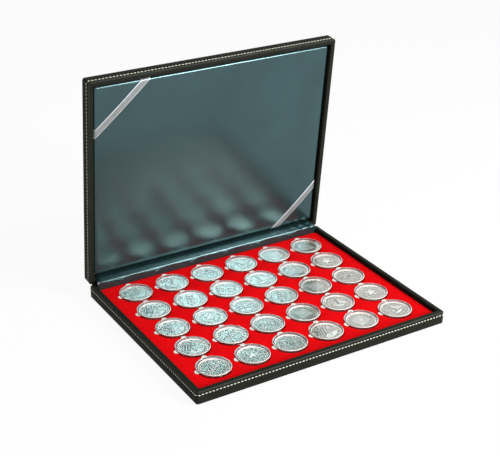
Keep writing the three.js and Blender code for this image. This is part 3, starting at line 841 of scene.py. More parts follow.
# %% Sizes of the lining
lining_low, lining_high = box_of("lining_satin", LID_PLACE)
lining_middle = (lining_low + lining_high) / 2
lining_half = (lining_high - lining_low) / 2
LINING_FLOOR, LINING_TOP = lining_low[2], lining_high[2]
LINING_ROLL = 3
LINING_CORNER = 3.4
LINING_CROWN = 0.6
CROWN_WIDTH = 24
CROWN_LOOPS = (18, 13, 9, 6, 4)
MIDDLE_LOOPS = (106, 95, 80, 64, 48, 34)
MIDDLE_ROUND = 7.5
MIDDLE_SHARES = (0.06, 0.25, 0.5, 0.75)
BACK_EDGE = ((0, 2), (0, 1), (0.3, 0.3), (1, 0))
TURN_UNDER = 9
PAD_VOXEL = 4
PAD_PRESSURE = 4
PAD_FRAMES = 20
PAD_CAP = 1.1
PAD_HELD_SHARE = 0.55
PAD_FACE_DEPTH = 1
PAD_EVENNESS = 22
print("lining", 2 * lining_half.round(1), "mm")

# %% Skin of the lining


def lining_loops(last_inset):
    """The lining from the middle of its face, round its rolled edge, to this inset under its back."""
    edge = LINING_TOP - LINING_CROWN
    section = [(inset, LINING_TOP) for inset in (*MIDDLE_LOOPS, CROWN_WIDTH)]
    for inset in CROWN_LOOPS:
        share = (inset - LINING_ROLL) / (CROWN_WIDTH - LINING_ROLL)
        section.append((inset, edge + LINING_CROWN * math.sin(share * math.tau / 4)))
    section += roll(LINING_ROLL, edge - LINING_ROLL, LINING_ROLL, 1 / 4)
    section += [(inset, LINING_FLOOR + height) for inset, height in (*BACK_EDGE, (last_inset, 0))]
    loops = []
    for inset, level in section:
        middle = max(inset - CROWN_WIDTH, 0) / (MIDDLE_LOOPS[0] - CROWN_WIDTH)
        radius = max(LINING_CORNER - inset, INNER_CORNER) + MIDDLE_ROUND * middle
        plan = outline_loop(lining_half[0] - inset, lining_half[1] - inset, radius) + lining_middle[:2]
        loops.append(at_height(plan, level))
    centre = np.array((*lining_middle[:2], LINING_TOP))
    return [centre + share * (loops[0] - centre) for share in MIDDLE_SHARES] + loops


def swelling(places):
    """How far the face of a blown-up copy of the pad rises at each of these places, in metres."""
    pad = piece_of("pad", *skin(lining_loops(MIDDLE_LOOPS[0]), capped=True), SATIN)
    even = pad.modifiers.new("even", "REMESH")
    even.mode = "VOXEL"
    even.voxel_size = PAD_VOXEL * MM
    baked(pad)
    start = points_of(pad)
    held = LINING_FLOOR + PAD_HELD_SHARE * (LINING_TOP - LINING_FLOOR)
    group = pad.vertex_groups.new(name="held")
    group.add([n for n, height in enumerate(start[:, 2]) if height < held * MM], 1, "REPLACE")
    cloth = pad.modifiers.new("cloth", "CLOTH")
    cloth.settings.use_pressure = True
    cloth.settings.uniform_pressure_force = PAD_PRESSURE
    cloth.settings.effector_weights.gravity = 0
    cloth.settings.vertex_group_mass = "held"
    cloth.point_cache.frame_start = 1
    cloth.point_cache.frame_end = PAD_FRAMES
    for moment in range(1, PAD_FRAMES + 1):
        bpy.context.scene.frame_set(moment)
    blown = points_of(pad.evaluated_get(bpy.context.evaluated_depsgraph_get()))
    bpy.context.scene.frame_set(1)
    bpy.data.objects.remove(pad)
    face = start[:, 2] > (LINING_TOP - LINING_CROWN - PAD_FACE_DEPTH) * MM
    seen, risen = start[face, :2], (blown - start)[face, 2]
    rise = np.zeros(len(places))
    for number, place in enumerate(places[:, :2]):
        nearness = np.exp(-((seen - place) ** 2).sum(1) / (PAD_EVENNESS * MM) ** 2)
        rise[number] = nearness @ risen / nearness.sum()
    print("pad blown up by", round(float(rise.max()) / MM, 2), "mm before it is scaled down")
    from_side = lining_half * MM - abs(places - lining_middle * MM)
    free = np.clip(from_side[:, :2].min(1) / (CROWN_WIDTH * MM), 0, 1)
    return rise * PAD_CAP * MM / rise.max() * free * free * (3 - 2 * free) * (places[:, 2] > lining_middle[2] * MM)


# %% Shape the lining
lining = piece_of("satin_lining", *skin(lining_loops(TURN_UNDER)), SATIN)
at = points_of(lining)
at[:, 2] += swelling(at)
lining.data.vertices.foreach_set("co", at.ravel())
finer = lining.modifiers.new("finer", "SUBSURF")
finer.levels = finer.render_levels = 1
baked(lining)
close_up(lining, lambda edge: edge.verts[0].co.z > lining_middle[2] * MM)
lining_surface = BVHTree.FromPolygons(
    [vertex.co for vertex in lining.data.vertices], [polygon.vertices for polygon in lining.data.polygons]
)
thicken(lining, SATIN_THICKNESS, -1)
lining.data.transform(LID_PLACE)
lining.data.shade_smooth()
hand_in(lining, "lid", "lining_satin")
print("lining", triangles(lining), "triangles")

# %% [markdown]
# ## Corner ribbons
#
# Two grosgrain ribbons cross opposite corners of the lining and hold a certificate. Each is taut between two sides
# and folded down over the padded edge, so its ends follow the edge and not the ribbon's own square cut. The ribbon
# is a grid whose rows each run from one side to the other and are laid on the lining by casting a ray down on it.

# %% Polyester grosgrain, silver grey: cross ribs with a painted highlight on their crests and painted shade in their hollows, between two smooth paler selvedges
RIB_PITCH = 1.3
RIB_HEIGHT = 0.15
SELVEDGE = 1.1
RIBBON_WIDTH = 7.4

GROSGRAIN, tree, shader = new_material("ribbed_grosgrain", {"Metallic": 0.7, "Roughness": 0.32})
along = add_node(tree, "ShaderNodeAttribute", attribute_name="along").outputs["Fac"]
across = add_node(tree, "ShaderNodeAttribute", attribute_name="across").outputs["Fac"]
turns = add_node(tree, "ShaderNodeMath", {0: along, 1: math.tau * per_metre(RIB_PITCH)}, operation="MULTIPLY")
ribs = add_node(tree, "ShaderNodeMath", {0: turns}, operation="SINE")
ridge = add_node(tree, "ShaderNodeMapRange", {"Value": ribs, "From Min": -1, "From Max": 1})
aside = add_node(tree, "ShaderNodeMath", {0: across}, operation="ABSOLUTE")
selvedge_start, selvedge_full = (RIBBON_WIDTH / 2 - SELVEDGE) * MM, (RIBBON_WIDTH / 2 - SELVEDGE / 2) * MM
selvedge = add_node(
    tree, "ShaderNodeMapRange", {"Value": aside, "From Min": selvedge_start, "From Max": selvedge_full}
)
# The ribs are painted paler on their crests and darker between them: painted highlight and painted shade.
rib_highlight_and_shade = add_node(tree, "ShaderNodeMix", {0: ridge, 6: "767c7e", 7: "9fa5a7"}, data_type="RGBA")
colour = add_node(tree, "ShaderNodeMix", {0: selvedge, 6: rib_highlight_and_shade.outputs[2], 7: "d4d9d9"}, data_type="RGBA")
bump = add_node(tree, "ShaderNodeBump", {"Height": ridge, "Strength": 0.6, "Distance": RIB_HEIGHT * MM})
give(shader, {"Base Color": colour.outputs[2], "Normal": bump})
print("made", GROSGRAIN.name)

# %% Lay the ribbons
RIBBON_THICKNESS = 0.4
RIBBON_LIFT = 0.25
RIBBON_ROWS = 9
RIBBON_STEPS = 60
RIBBON_DROP = 3.5
RIBBON_BESIDE = 0.5
RIBBON_SHARP = 60
DROP_STEPS = 4
FAR_RIBBON = (-1, 1, 55, 61)
NEAR_RIBBON = (1, -1, 50.5, 54)


def lining_height(x, y):
    """Height of the lining's face under a point, in millimetres."""
    hit = lining_surface.ray_cast(Vector((x, y, 2 * TRAY_HEIGHT)) * MM, Vector((0, 0, -1)))[0]
    return hit.z / MM if hit else LINING_TOP - LINING_ROLL


def corner_ribbon(name, node, side, end, along_side, along_edge):
    """A ribbon across the corner of the lining on this side and at this end."""
    inner = lining_half[:2] - LINING_ROLL / 2
    outer = lining_half[:2] + RIBBON_BESIDE
    corner = lining_middle[:2] + lining_half[:2] * (side, end)
    direction = np.array((-side * along_edge, end * along_side)) / math.hypot(along_edge, along_side)
    beside = np.array((-direction[1], direction[0]))
    rows, along, across = [], [], []
    for row in np.linspace(-0.5, 0.5, RIBBON_ROWS) * RIBBON_WIDTH:
        start = corner - (0, end * along_side) + beside * row
        to_side = (lining_middle[0] + side * inner[0] - start[0]) / direction[0]
        to_edge = (lining_middle[1] + end * inner[1] - start[1]) / direction[1]
        line = start + np.linspace(to_side, to_edge, RIBBON_STEPS)[:, None] * direction
        top = np.array([lining_height(x, y) for x, y in line]) + RIBBON_LIFT
        shoulder = min(top[0], top[-1]) - LINING_ROLL / 2
        heights = np.linspace(LINING_TOP - LINING_ROLL - RIBBON_DROP, shoulder, DROP_STEPS)
        lower = [(lining_middle[0] + side * outer[0], line[0][1], height) for height in heights]
        upper = [(line[-1][0], lining_middle[1] + end * outer[1], height) for height in heights[::-1]]
        run = np.vstack([lower, np.column_stack([line, top]), upper])
        rows.append(run)
        along += [0, *np.cumsum(np.linalg.norm(np.diff(run, axis=0), axis=1))]
        across += [row] * len(run)
    count = len(rows[0])
    nearest = [row * count + step for row in range(RIBBON_ROWS - 1) for step in range(count - 1)]
    faces = [(near, near + 1, near + count + 1, near + count) for near in nearest]
    ribbon = piece_of(name, np.concatenate(rows), faces, GROSGRAIN, RIBBON_SHARP)
    store(ribbon, "along", np.array(along) * MM)
    store(ribbon, "across", np.array(across) * MM)
    thicken(ribbon, RIBBON_THICKNESS, 0)
    ribbon.data.transform(LID_PLACE)
    close_up(ribbon)
    hand_in(ribbon, "lid", node)
    print(name, triangles(ribbon), "triangles")


corner_ribbon("far_left_ribbon", "ribbon_far_left", *FAR_RIBBON)
corner_ribbon("near_right_ribbon", "ribbon_near_right", *NEAR_RIBBON)

# %% [markdown]
# ## Coins
#
# Each coin is struck silver: a raised rim, a ring of beads, a mirror-like field and a frosted relief. The reliefs
# are plain motifs made for this case, a boat, rings, rays over hills, a plaque, a twig and a star. A relief is a
# height over the face, worked out from distances to simple outlines, which lifts the points of a round grid. The
# attribute frost says where the relief stands and is frosted, and a second attribute says where its sides are steep:
# there the silver is painted dark, as painted shade along the sides of the relief.

# %% Silver struck with polished dies: bright worn field, frosted relief, painted shade on the relief's steep sides, a faint haze
SILVER_GRAIN = 0.9
COIN_CLOUD = 9
COIN_WEAR = 2.6
SILVER_SCRATCH = 0.14

SILVER, tree, shader = new_material("struck_silver", {"Metallic": 1})
place = add_node(tree, "ShaderNodeTexCoord").outputs["Object"]
frost = add_node(tree, "ShaderNodeAttribute", attribute_name="frost").outputs["Fac"]
slope_shade = add_node(tree, "ShaderNodeAttribute", attribute_name="slope_shade").outputs["Fac"]
grain = add_node(tree, "ShaderNodeTexNoise", {"Vector": place, "Scale": per_metre(SILVER_GRAIN)})
haze = add_node(tree, "ShaderNodeTexNoise", {"Vector": place, "Scale": per_metre(COIN_CLOUD)})
worn = add_node(tree, "ShaderNodeTexNoise", {"Vector": place, "Scale": per_metre(COIN_WEAR), "Detail": 3})
field = add_node(tree, "ShaderNodeMix", {0: worn, 6: "948f86", 7: "efebe0"}, data_type="RGBA")
colour = add_node(tree, "ShaderNodeMix", {0: frost, 6: field.outputs[2], 7: "f2f3ee"}, data_type="RGBA")
# The dark colour on the relief's steep sides is painted shade.
shaded = add_node(tree, "ShaderNodeMix", {0: slope_shade, 6: colour.outputs[2], 7: "3c403d"}, data_type="RGBA")
field_gloss = add_node(tree, "ShaderNodeMapRange", {"Value": haze, "To Min": 0.16, "To Max": 0.26})
gloss = add_node(tree, "ShaderNodeMix", {0: frost, 2: field_gloss, 3: 0.5}, data_type="FLOAT")
bump = add_node(tree, "ShaderNodeBump", {"Height": grain, "Strength": 0.7, "Distance": SILVER_SCRATCH * MM})
give(shader, {"Base Color": shaded.outputs[2], "Roughness": gloss, "Normal": bump})
print("made", SILVER.name)

# %% Outlines for the reliefs, in shares of the field's radius
SLOPE = 0.05


def inside(distance, slope=SLOPE):
    """One inside an outline and zero outside, with a soft slope across its edge."""
    share = np.clip(0.5 - distance / slope, 0, 1)
    return share * share * (3 - 2 * share)


def disc(u, v, x, y, radius):
    """A round disc."""
    return np.hypot(u - x, v - y) - radius


def bar(u, v, start, end, half_width):
    """A bar with round ends from start to end."""
    run = np.subtract(end, start)
    share = np.clip(((u - start[0]) * run[0] + (v - start[1]) * run[1]) / run.dot(run), 0, 1)
    return np.hypot(u - start[0] - share * run[0], v - start[1] - share * run[1]) - half_width


def turned_axes(u, v, x, y, turn):
    """Distances from x, y along a direction and beside it."""
    cosine, sine = math.cos(turn), math.sin(turn)
    return (u - x) * cosine + (v - y) * sine, (v - y) * cosine - (u - x) * sine


def block(u, v, half_width, half_height, radius, turn):
    """A rectangle with round corners, turned about the middle."""
    across, up = turned_axes(u, v, 0, 0, turn)
    dx = abs(across) - half_width + radius
    dy = abs(up) - half_height + radius
    return np.hypot(np.maximum(dx, 0), np.maximum(dy, 0)) + np.minimum(np.maximum(dx, dy), 0) - radius


def star(u, v, x, y, points, outer, waist):
    """A star whose outline swings between outer and waist."""
    angle = np.arctan2(v - y, u - x) * points
    return np.hypot(u - x, v - y) - (outer + waist) / 2 - (outer - waist) / 2 * np.cos(angle)


def leaf(u, v, x, y, turn, length, width):
    """A pointed oval from x, y along a direction."""
    along, beside = turned_axes(u, v, x, y, turn)
    half = width * np.sin(np.clip(along / length, 0, 1) * math.pi)
    return np.maximum(abs(beside) - half, abs(along - length / 2) - length / 2)


def border(u, v, bars):
    """A ring of short bars inside the beads."""
    return 0.8 * inside(np.maximum(abs(np.hypot(u, v) - 0.79) - 0.05, 0.06 * np.cos(np.arctan2(v, u) * bars)))


# %% The six designs


def sails(u, v):
    """A boat under two sails on waves, with the sun behind."""
    hull = np.maximum(disc(u, v, 0, 0.2, 0.74), v + 0.28)
    main = np.maximum(np.maximum(-(u - 0.07), u * 0.9 + v - 0.62), -(v + 0.2))
    fore = np.maximum(np.maximum(u + 0.05, -u * 1.3 + v - 0.5), -(v + 0.2))
    mast = bar(u, v, (0.01, -0.3), (0.01, 0.76), 0.03)
    height = 0.9 * inside(hull) + 0.7 * inside(main) + 0.5 * inside(fore) + 0.9 * inside(mast)
    for number in range(3):
        wave = abs(v + 0.58 + 0.09 * number + 0.035 * np.sin(u * 17 + number)) - 0.022
        height += 0.6 * inside(np.maximum(wave, abs(u) - 0.6 + 0.13 * number))
    return height + 0.5 * inside(disc(u, v, -0.52, 0.42, 0.13)) + border(u, v, 20) * (v > 0.1)


def rings(u, v):
    """Two round medallions side by side, between a bar and a row of dots."""
    height = 0.6 * inside(bar(u, v, (-0.6, -0.5), (0.6, -0.5), 0.03))
    for x, y in ((-0.38, 0.03), (0.38, -0.02)):
        height += 0.9 * inside(abs(disc(u, v, x, y, 0.3)) - 0.045)
        height += 0.8 * inside(star(u, v, x, y, 6, 0.2, 0.09))
    for number in range(7):
        height += 0.7 * inside(disc(u, v, 0.16 * number - 0.48, 0.56 - 0.02 * (number - 3) ** 2, 0.05))
    return height + border(u, v, 24) * (abs(v) > 0.25)


def rays(u, v):
    """Slanting rays on one side, over two hills with a path."""
    height = 0.75 * inside(disc(u, v, 0.1, -1.0, 0.75)) + 0.6 * inside(disc(u, v, 0.6, -0.72, 0.5))
    for number in range(4):
        foot = -0.74 + 0.2 * number
        height += 0.9 * inside(bar(u, v, (foot, -0.2), (foot + 0.3, 0.56), 0.05))
    height -= 0.5 * inside(abs(u - 0.2 * np.sin(v * 6) - 0.15) - 0.05) * (v < -0.3)
    return height + 0.8 * inside(disc(u, v, 0.45, 0.36, 0.17)) + border(u, v, 20) * (v > 0.3)


def plaque(u, v):
    """A square plaque with a rosette in a round frame."""
    height = 0.45 * inside(block(u, v, 0.56, 0.5, 0.1, 0.12)) + 0.35 * inside(star(u, v, 0, 0, 8, 0.3, 0.16))
    height += 0.35 * inside(abs(disc(u, v, 0, 0, 0.4)) - 0.025) + 0.3 * inside(disc(u, v, 0, 0, 0.08))
    return height + border(u, v, 26)


def twig(u, v):
    """A twig with paired leaves and a berry at its tip."""
    height = 0.9 * inside(bar(u, v, (-0.54, -0.6), (0.42, 0.5), 0.03))
    for number in range(5):
        x, y = -0.42 + 0.19 * number, -0.46 + 0.215 * number
        for turn in (0.1, 1.6):
            height += 0.75 * inside(leaf(u, v, x, y, turn, 0.4, 0.085), 0.04)
    return height + 0.9 * inside(disc(u, v, 0.46, 0.55, 0.08)) + border(u, v, 20) * (abs(u + v) < 0.7)


def star_in_leaves(u, v):
    """A five-pointed star in an open wreath."""
    height = 0.9 * inside(star(u, v, 0, 0, 5, 0.46, 0.2)) + 0.3 * inside(disc(u, v, 0, 0, 0.1))
    for number in range(18):
        angle = math.tau * (0.3 + 0.9 * number / 17)
        x, y = 0.62 * math.cos(angle), 0.62 * math.sin(angle)
        height += 0.6 * inside(leaf(u, v, x, y, angle + 1, 0.2, 0.055), 0.04)
    return height


DESIGNS = {"S": sails, "R": rings, "H": rays, "P": plaque, "T": twig, "W": star_in_leaves}

# %% [markdown]
# The ring of beads stands where a coin has its words. A small tree sets one bead at each point of a circle and
# joins them to the coin, so each coin stays one mesh.

# %% The bead tree: beads round a circle, joined to the coin that comes in
BEADS = 60
BEAD_RADIUS = 0.5
BEAD_SIDES = 6
BEAD_ROWS = 4

sizes = {"Ring radius": LENGTH, "Height": LENGTH, "Bead radius": LENGTH, "Beads": WHOLE}
BEAD_RING, given = growing_tree("beads", sizes)
ring = add_node(BEAD_RING, "GeometryNodeMeshCircle", {"Vertices": given["Beads"], "Radius": given["Ring radius"]})
lift = add_node(BEAD_RING, "ShaderNodeCombineXYZ", {"Z": given["Height"]})
raised = add_node(BEAD_RING, "GeometryNodeTransform", {"Geometry": ring, "Translation": lift})
ball = {"Segments": BEAD_SIDES, "Rings": BEAD_ROWS, "Radius": given["Bead radius"]}
bead = add_node(BEAD_RING, "GeometryNodeMeshUVSphere", ball)
smooth = add_node(BEAD_RING, "GeometryNodeSetShadeSmooth", {"Geometry": bead})
placed = add_node(BEAD_RING, "GeometryNodeInstanceOnPoints", {"Points": raised, "Instance": smooth})
end_tree(BEAD_RING, joined(BEAD_RING, (placed, given["Geometry"])), given)

# %% A coin of each design
COIN_RADIUS = 16.25
COIN_THICKNESS = 3
COIN_RIM = 1.4
COIN_RELIEF = 0.7
COIN_BEVEL = 0.3
COIN_TURNS = 156
COIN_RINGS = 46
COIN_SHARP = 60
CREST_SHARES = (0.3, 0.75, 0.93)
RELIEF_SHARE = 0.9
RELIEF_REACH_SHARE = 0.86
BEAD_RING_SHARE = 0.92
SHADE_SLOPE = 1.4
CAP_RADIUS = 0.3
FIELD_RADIUS = COIN_RADIUS - COIN_RIM


def turned_loops(section, steps):
    """Loops round the upright axis through (radius, height) points."""
    angles = np.linspace(0, math.tau, steps, endpoint=False)
    ring = np.stack([np.cos(angles), np.sin(angles)], 1)
    return [at_height(radius * ring, height) for radius, height in section]


def coin_of(letter):
    """A finished coin of one design, its back on zero, to be copied into its seats."""
    angles = np.linspace(0, math.tau, COIN_TURNS, endpoint=False)
    radii = np.linspace(CAP_RADIUS, FIELD_RADIUS, COIN_RINGS)
    x, y = np.outer(radii, np.cos(angles)), np.outer(radii, np.sin(angles))
    relief = np.clip(DESIGNS[letter](x / FIELD_RADIUS, y / FIELD_RADIUS), 0, 1)
    relief[radii > RELIEF_REACH_SHARE * FIELD_RADIUS] = 0
    outwards, around = np.gradient(relief, radii, angles)
    steep = np.hypot(outwards, around / radii[:, None])
    loops = list(np.stack([x, y, COIN_THICKNESS - COIN_RELIEF * (1 - RELIEF_SHARE * relief)], 2))
    crest = COIN_RIM * np.array(CREST_SHARES) + FIELD_RADIUS
    edge = list(zip(crest, (COIN_THICKNESS, COIN_THICKNESS, COIN_THICKNESS - COIN_BEVEL / 3)))
    edge += [(COIN_RADIUS, COIN_THICKNESS - COIN_BEVEL), (COIN_RADIUS, COIN_BEVEL)]
    edge += [(COIN_RADIUS - COIN_BEVEL, 0), (CAP_RADIUS, 0)]
    points, faces = skin(loops + turned_loops(edge, COIN_TURNS), capped=True)
    coin = piece_of("coin_" + letter, points, faces, SILVER, COIN_SHARP)
    frost, slope_shade = np.zeros(len(points)), np.zeros(len(points))
    frost[:relief.size] = relief.ravel()
    frost[relief.size:relief.size + len(crest) * COIN_TURNS] = 1
    # Painted shade where the relief's sides are steep.
    slope_shade[:relief.size] = np.clip(steep.ravel() / SHADE_SLOPE, 0, 1)
    store(coin, "frost", frost)
    store(coin, "slope_shade", slope_shade)
    values = {"Ring radius": BEAD_RING_SHARE * FIELD_RADIUS * MM, "Height": (COIN_THICKNESS - COIN_RELIEF) * MM}
    return grown(coin, BEAD_RING, values | {"Bead radius": BEAD_RADIUS * MM, "Beads": BEADS}, SILVER)


COINS = {letter: coin_of(letter) for letter in DESIGNS}
print("one coin", triangles(COINS["S"]), "triangles")

# %% [markdown]
# ## Capsules
#
# A coin capsule is two shallow dishes of clear styrene that click together. Each half has a thumb lug, one behind
# and one on the left. A half is turned like a bowl, as a section carried round a circle, and its lug is joined to it
# by a boolean, so the clear body has no walls inside it. The window is sunk a little below the ring, which keeps it
# from scratches and draws the bright line round each coin. A path tracer would cast a black shadow behind clear
# plastic, so in its material lamp light and scattered light pass straight through.

# %% Injection-moulded polystyrene, with faint flow ripples
FLOW_RIPPLE = 8
RIPPLE_HEIGHT = 0.1


def moulded_styrene(name, base_colour, roughness, transmission):
    """Moulded styrene whose surface comes from the finish of its mould."""
    constants = {"IOR": 1.49, "Transmission Weight": transmission, "Roughness": roughness, "Base Color": base_colour}
    material, tree, shader = new_material(name, constants)
    place = add_node(tree, "ShaderNodeTexCoord").outputs["Object"]
    flow = add_node(tree, "ShaderNodeTexNoise", {"Vector": place, "Scale": per_metre(FLOW_RIPPLE)})
    bump = add_node(tree, "ShaderNodeBump", {"Height": flow, "Strength": 0.05, "Distance": RIPPLE_HEIGHT * MM})
    give(shader, {"Normal": bump})
    rays = add_node(tree, "ShaderNodeLightPath").outputs
    from_lamps = {0: rays["Is Shadow Ray"], 1: rays["Is Diffuse Ray"]}
    passing = add_node(tree, "ShaderNodeMath", from_lamps, operation="MAXIMUM")
    through = add_node(tree, "ShaderNodeBsdfTransparent", {"Color": "f4f8f8"})
    clear = add_node(tree, "ShaderNodeMixShader", {0: passing, 1: shader, 2: through})
    give(tree.nodes["Material Output"], {"Surface": clear})
    return material


# Polished mould for the window and the ring: colourless and glossy, like thin glass.
STYRENE = moulded_styrene("moulded_clear_styrene", "fbfdfd", 0.03, 1)
# Spark-eroded mould for the lugs and the upper edge: a fine frost that scatters light white.
FROSTED_STYRENE = moulded_styrene("moulded_frosted_styrene", "fdf9f2", 0.35, 0.35)
print("made", STYRENE.name, "and", FROSTED_STYRENE.name)

# %% The two halves
CAPSULE_HEIGHT = 6.4
CAPSULE_PARTING = 4.8
PARTING_GAP = 0.06
WINDOW = 0.9
WINDOW_SINK = 0.5
BORE_RADIUS = 16.35
BEAD_WIDTH = 0.9
BEAD_FILLET = 0.3
BEAD_STEP = 0.25
BEAD_LEAN = 0.35
CAPSULE_ROUND = 0.7
EDGE_BEVEL = 0.2
COIN_SEAT = 1.2
COIN_PLAY = 0.1
LUG_REACH = 2.9
LUG_ROOT = 1
LUG_WIDTH = 6.6
LUG_TIP = 0.6
LUG_TIP_WIDTH = 4.4
UPPER_LUG = 1.1
LOWER_LUG = 0.55
CAPSULE_STEPS = 80


def with_lug(name, section, direction, bottom, top):
    """A half turned from its section, one body with its thumb lug, frosted where hands hold it."""
    half = piece_of(name, *skin(turned_loops(section, CAPSULE_STEPS), capped=True), STYRENE)
    root = CAPSULE_RADIUS - LUG_ROOT
    tip = CAPSULE_RADIUS + LUG_REACH
    side = [(root, LUG_WIDTH / 2), (CAPSULE_RADIUS, LUG_WIDTH / 2)]
    side += [(tip - LUG_TIP, LUG_TIP_WIDTH / 2), (tip, LUG_TIP_WIDTH / 4)]
    corners = [(x, -y) for x, y in side] + side[::-1]
    turn = math.atan2(direction[1], direction[0])
    plan = [(x * math.cos(turn) - y * math.sin(turn), x * math.sin(turn) + y * math.cos(turn)) for x, y in corners]
    loops = [at_height(np.array(plan), height) for height in (top, bottom)]
    combine(half, "UNION", piece_of("lug", *skin(loops, capped=True), STYRENE))
    half.data.materials.clear()
    for material in (STYRENE, FROSTED_STYRENE):
        half.data.materials.append(material)
    for polygon in half.data.polygons:
        reach = math.hypot(polygon.center.x, polygon.center.y) / MM
        on_edge = reach > CAPSULE_RADIUS - CAPSULE_ROUND and polygon.center.z / MM > CAPSULE_HEIGHT - CAPSULE_ROUND
        polygon.material_index = int(reach > CAPSULE_RADIUS or on_edge)
    smooth_but_sharp(half)
    return half


window_top = CAPSULE_HEIGHT - WINDOW_SINK
bead_inner = CAPSULE_RADIUS - BEAD_WIDTH
upper_foot = CAPSULE_PARTING + PARTING_GAP
coin_top = COIN_SEAT - COIN_PLAY
upper_section = [(CAP_RADIUS, window_top), (bead_inner - BEAD_FILLET, window_top)]
upper_section += [(bead_inner, window_top + BEAD_STEP), (bead_inner + BEAD_LEAN, CAPSULE_HEIGHT)]
upper_section += [(CAPSULE_RADIUS - CAPSULE_ROUND, CAPSULE_HEIGHT)]
upper_section += [(CAPSULE_RADIUS - EDGE_BEVEL, CAPSULE_HEIGHT - EDGE_BEVEL)]
upper_section += [(CAPSULE_RADIUS, CAPSULE_HEIGHT - CAPSULE_ROUND), (CAPSULE_RADIUS, upper_foot)]
upper_section += [(BORE_RADIUS, upper_foot), (BORE_RADIUS, window_top - WINDOW), (CAP_RADIUS, window_top - WINDOW)]
lower_section = [(CAP_RADIUS, coin_top), (BORE_RADIUS, coin_top), (BORE_RADIUS, CAPSULE_PARTING)]
lower_section += [(CAPSULE_RADIUS, CAPSULE_PARTING), (CAPSULE_RADIUS, CAPSULE_ROUND)]
lower_section += [(CAPSULE_RADIUS - EDGE_BEVEL, EDGE_BEVEL), (CAPSULE_RADIUS - CAPSULE_ROUND, 0), (CAP_RADIUS, 0)]
UPPER_HALF = with_lug("capsule_upper", upper_section, (0, 1), upper_foot, upper_foot + UPPER_LUG)
LOWER_HALF = with_lug("capsule_lower", lower_section, (-1, 0), CAPSULE_PARTING - LOWER_LUG, CAPSULE_PARTING)
print("halves", triangles(UPPER_HALF), triangles(LOWER_HALF), "triangles")

# %% [markdown]
# ## Thirty seats
#
# Each seat gets its own three pieces, copied from the finished ones and moved in their meshes, and all three ride
# on that seat's body. The rows of letters say which design lies where, from the back row to the front one. Each
# coin is turned a little, as coins put in by hand are.

# %% Fill the seats
SEAT_DESIGNS = ("TSRSPP", "HTRSPW", "HWRTPR", "HTRPSW", "TWRHPS")
COIN_TURN = 0.5
TURN_SEED = 30
chance = np.random.default_rng(TURN_SEED)


def copied(template, name, place):
    """A copy of a finished piece, placed in its mesh."""
    mesh = template.data.copy()
    mesh.name = name
    mesh.transform(place)
    return linked(name, mesh)


for row in range(ROWS):
    for column in range(COLUMNS):
        where = f"_r{row + 1}_c{column + 1}"
        node = "capsule" + where
        x, y = FIRST_SEAT + PITCH * (column, row)
        seat = Matrix.Translation(Vector((x, y, box_of(node)[0][2])) * MM)
        lie = seat @ Matrix.Translation(Vector((0, 0, COIN_SEAT)) * MM)
        lie = lie @ Matrix.Rotation(chance.uniform(-COIN_TURN, COIN_TURN), 4, "Z")
        coin = COINS[SEAT_DESIGNS[ROWS - 1 - row][column]]
        hand_in(copied(coin, "coin" + where, lie), node, node)
        hand_in(copied(LOWER_HALF, "capsule_lower" + where, seat), node)
        hand_in(copied(UPPER_HALF, "capsule_upper" + where, seat), node)
for template in (*COINS.values(), UPPER_HALF, LOWER_HALF):
    bpy.data.objects.remove(template)
print("thirty coins in their capsules")

# %% [markdown]
# ## Boards, card and foam
#
# What the wrapping and the lining hide keeps its frame shape: greyboard walls and floors, the card behind the
# lining, the flap and the foam. Grey recycled board shows flecks and fibres on its faces, and cut foam has open
# cells.

# %% Greyboard, pressed from waste paper: matt, fibrous, with darker and paler flecks
BOARD_FIBRE = 0.9
BOARD_FLECK = 3
BOARD_NAP = 0.1

GREYBOARD = two_tone(
    "pressed_greyboard",
    {"Roughness": 0.9, "Specular IOR Level": 0.2},
    [("ShaderNodeTexNoise", BOARD_FIBRE, {"Detail": 4}), ("ShaderNodeTexVoronoi", BOARD_FLECK, {})],
    "86827a", "b4afa4", 0.3, BOARD_NAP,
)

# %% Polyurethane foam, cut from a block: pale yellow, matt, open cells
FOAM_CELL = 1
FOAM_PIT = 0.4

FOAM = two_tone(
    "cut_polyurethane_foam",
    {"Roughness": 1, "Specular IOR Level": 0.1},
    [("ShaderNodeTexVoronoi", FOAM_CELL, {})],
    "c9bf9f", "eee6c8", 0.5, FOAM_PIT,
)

# %% Finish the hidden pieces
finished = {node: GREYBOARD for node in frame["nodes"] if node.endswith(("_board", "_card", "_backing", "_flap"))}
finished["lining_foam"] = FOAM
for node, material in finished.items():
    part = frame["nodes"][node]
    part.data.materials.clear()
    part.data.materials.append(material)
print(len(finished), "hidden pieces finished")

# %% [markdown]
# ## Floor, light and background
#
# The case stands on a plain white sweep. To the camera, and in reflections and through clear plastic, the sweep is
# mostly plain white, with a share of its real shading left so that the case keeps its shadow. A soft box overhead,
# a smaller one high on the right and a low one at the front right, whose light the coins throw up at the lid, stand
# in a pale world.

# %% Floor and world
FLOOR_HALF = 6000
FLOOR_DROP = 0.2
FLOOR_GLOW = 0.93
WORLD_STRENGTH = 0.3
WHITE = (1, 1, 1, 1)


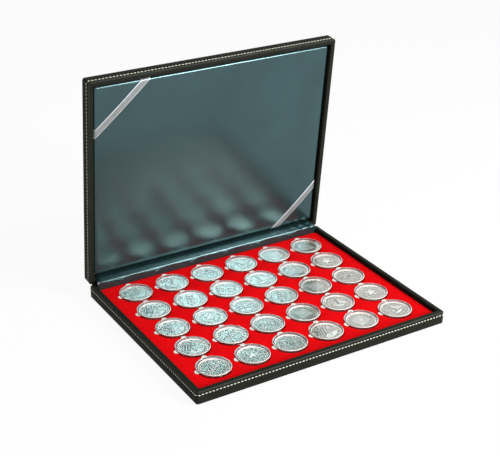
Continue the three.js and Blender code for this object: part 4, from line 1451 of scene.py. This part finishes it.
def seen_directly(tree):
    """One for rays from the camera, off a gloss or through clear plastic, and zero for the rest."""
    rays = add_node(tree, "ShaderNodeLightPath").outputs
    first = {0: rays["Is Camera Ray"], 1: rays["Is Glossy Ray"]}
    either = add_node(tree, "ShaderNodeMath", first, operation="MAXIMUM")
    return add_node(tree, "ShaderNodeMath", {0: either, 1: rays["Is Transmission Ray"]}, operation="MAXIMUM")


# Matt white paper, painted plain white for the camera but for its shadows.
PAPER, tree, shader = new_material("white_sweep_paper", {"Roughness": 0.9, "Base Color": "f4f4f4"})
glow = add_node(tree, "ShaderNodeEmission", {"Color": WHITE, "Strength": 1})
share = add_node(tree, "ShaderNodeMath", {0: seen_directly(tree), 1: FLOOR_GLOW}, operation="MULTIPLY")
mixed = add_node(tree, "ShaderNodeMixShader", {0: share, 1: shader, 2: glow})
give(tree.nodes["Material Output"], {"Surface": mixed})
corners = [(x * FLOOR_HALF, y * FLOOR_HALF, -FLOOR_DROP) for x, y in ((-1, -1), (1, -1), (1, 1), (-1, 1))]
piece_of("floor", corners, [(0, 1, 2, 3)], PAPER)

world = bpy.data.worlds.new("studio")
bpy.context.scene.world = world
world.use_nodes = True
tree = world.node_tree
light = {"Value": seen_directly(tree), "To Min": WORLD_STRENGTH, "To Max": 1}
strength = add_node(tree, "ShaderNodeMapRange", light)
give(tree.nodes["Background"], {"Color": WHITE, "Strength": strength})

# %% Lamps


def soft_box(name, place, target, size, power):
    """A square area lamp aimed at a point."""
    data = bpy.data.lights.new(name, "AREA")
    data.shape = "SQUARE"
    data.size = size
    data.energy = power
    lamp = linked(name, data)
    lamp.location = place
    lamp.rotation_euler = (Vector(target) - Vector(place)).to_track_quat("-Z", "Y").to_euler()


soft_box("overhead", (0.1, 0, 1.4), (0, 0, 0), 0.8, 2.5)
soft_box("key", (0.66, -0.63, 1.06), (0, 0, 0.05), 0.25, 8)
soft_box("front_right", (0.72, -1.25, 0.5), (0, 0.05, 0.02), 0.42, 26)
bpy.context.scene.view_settings.view_transform = "Standard"
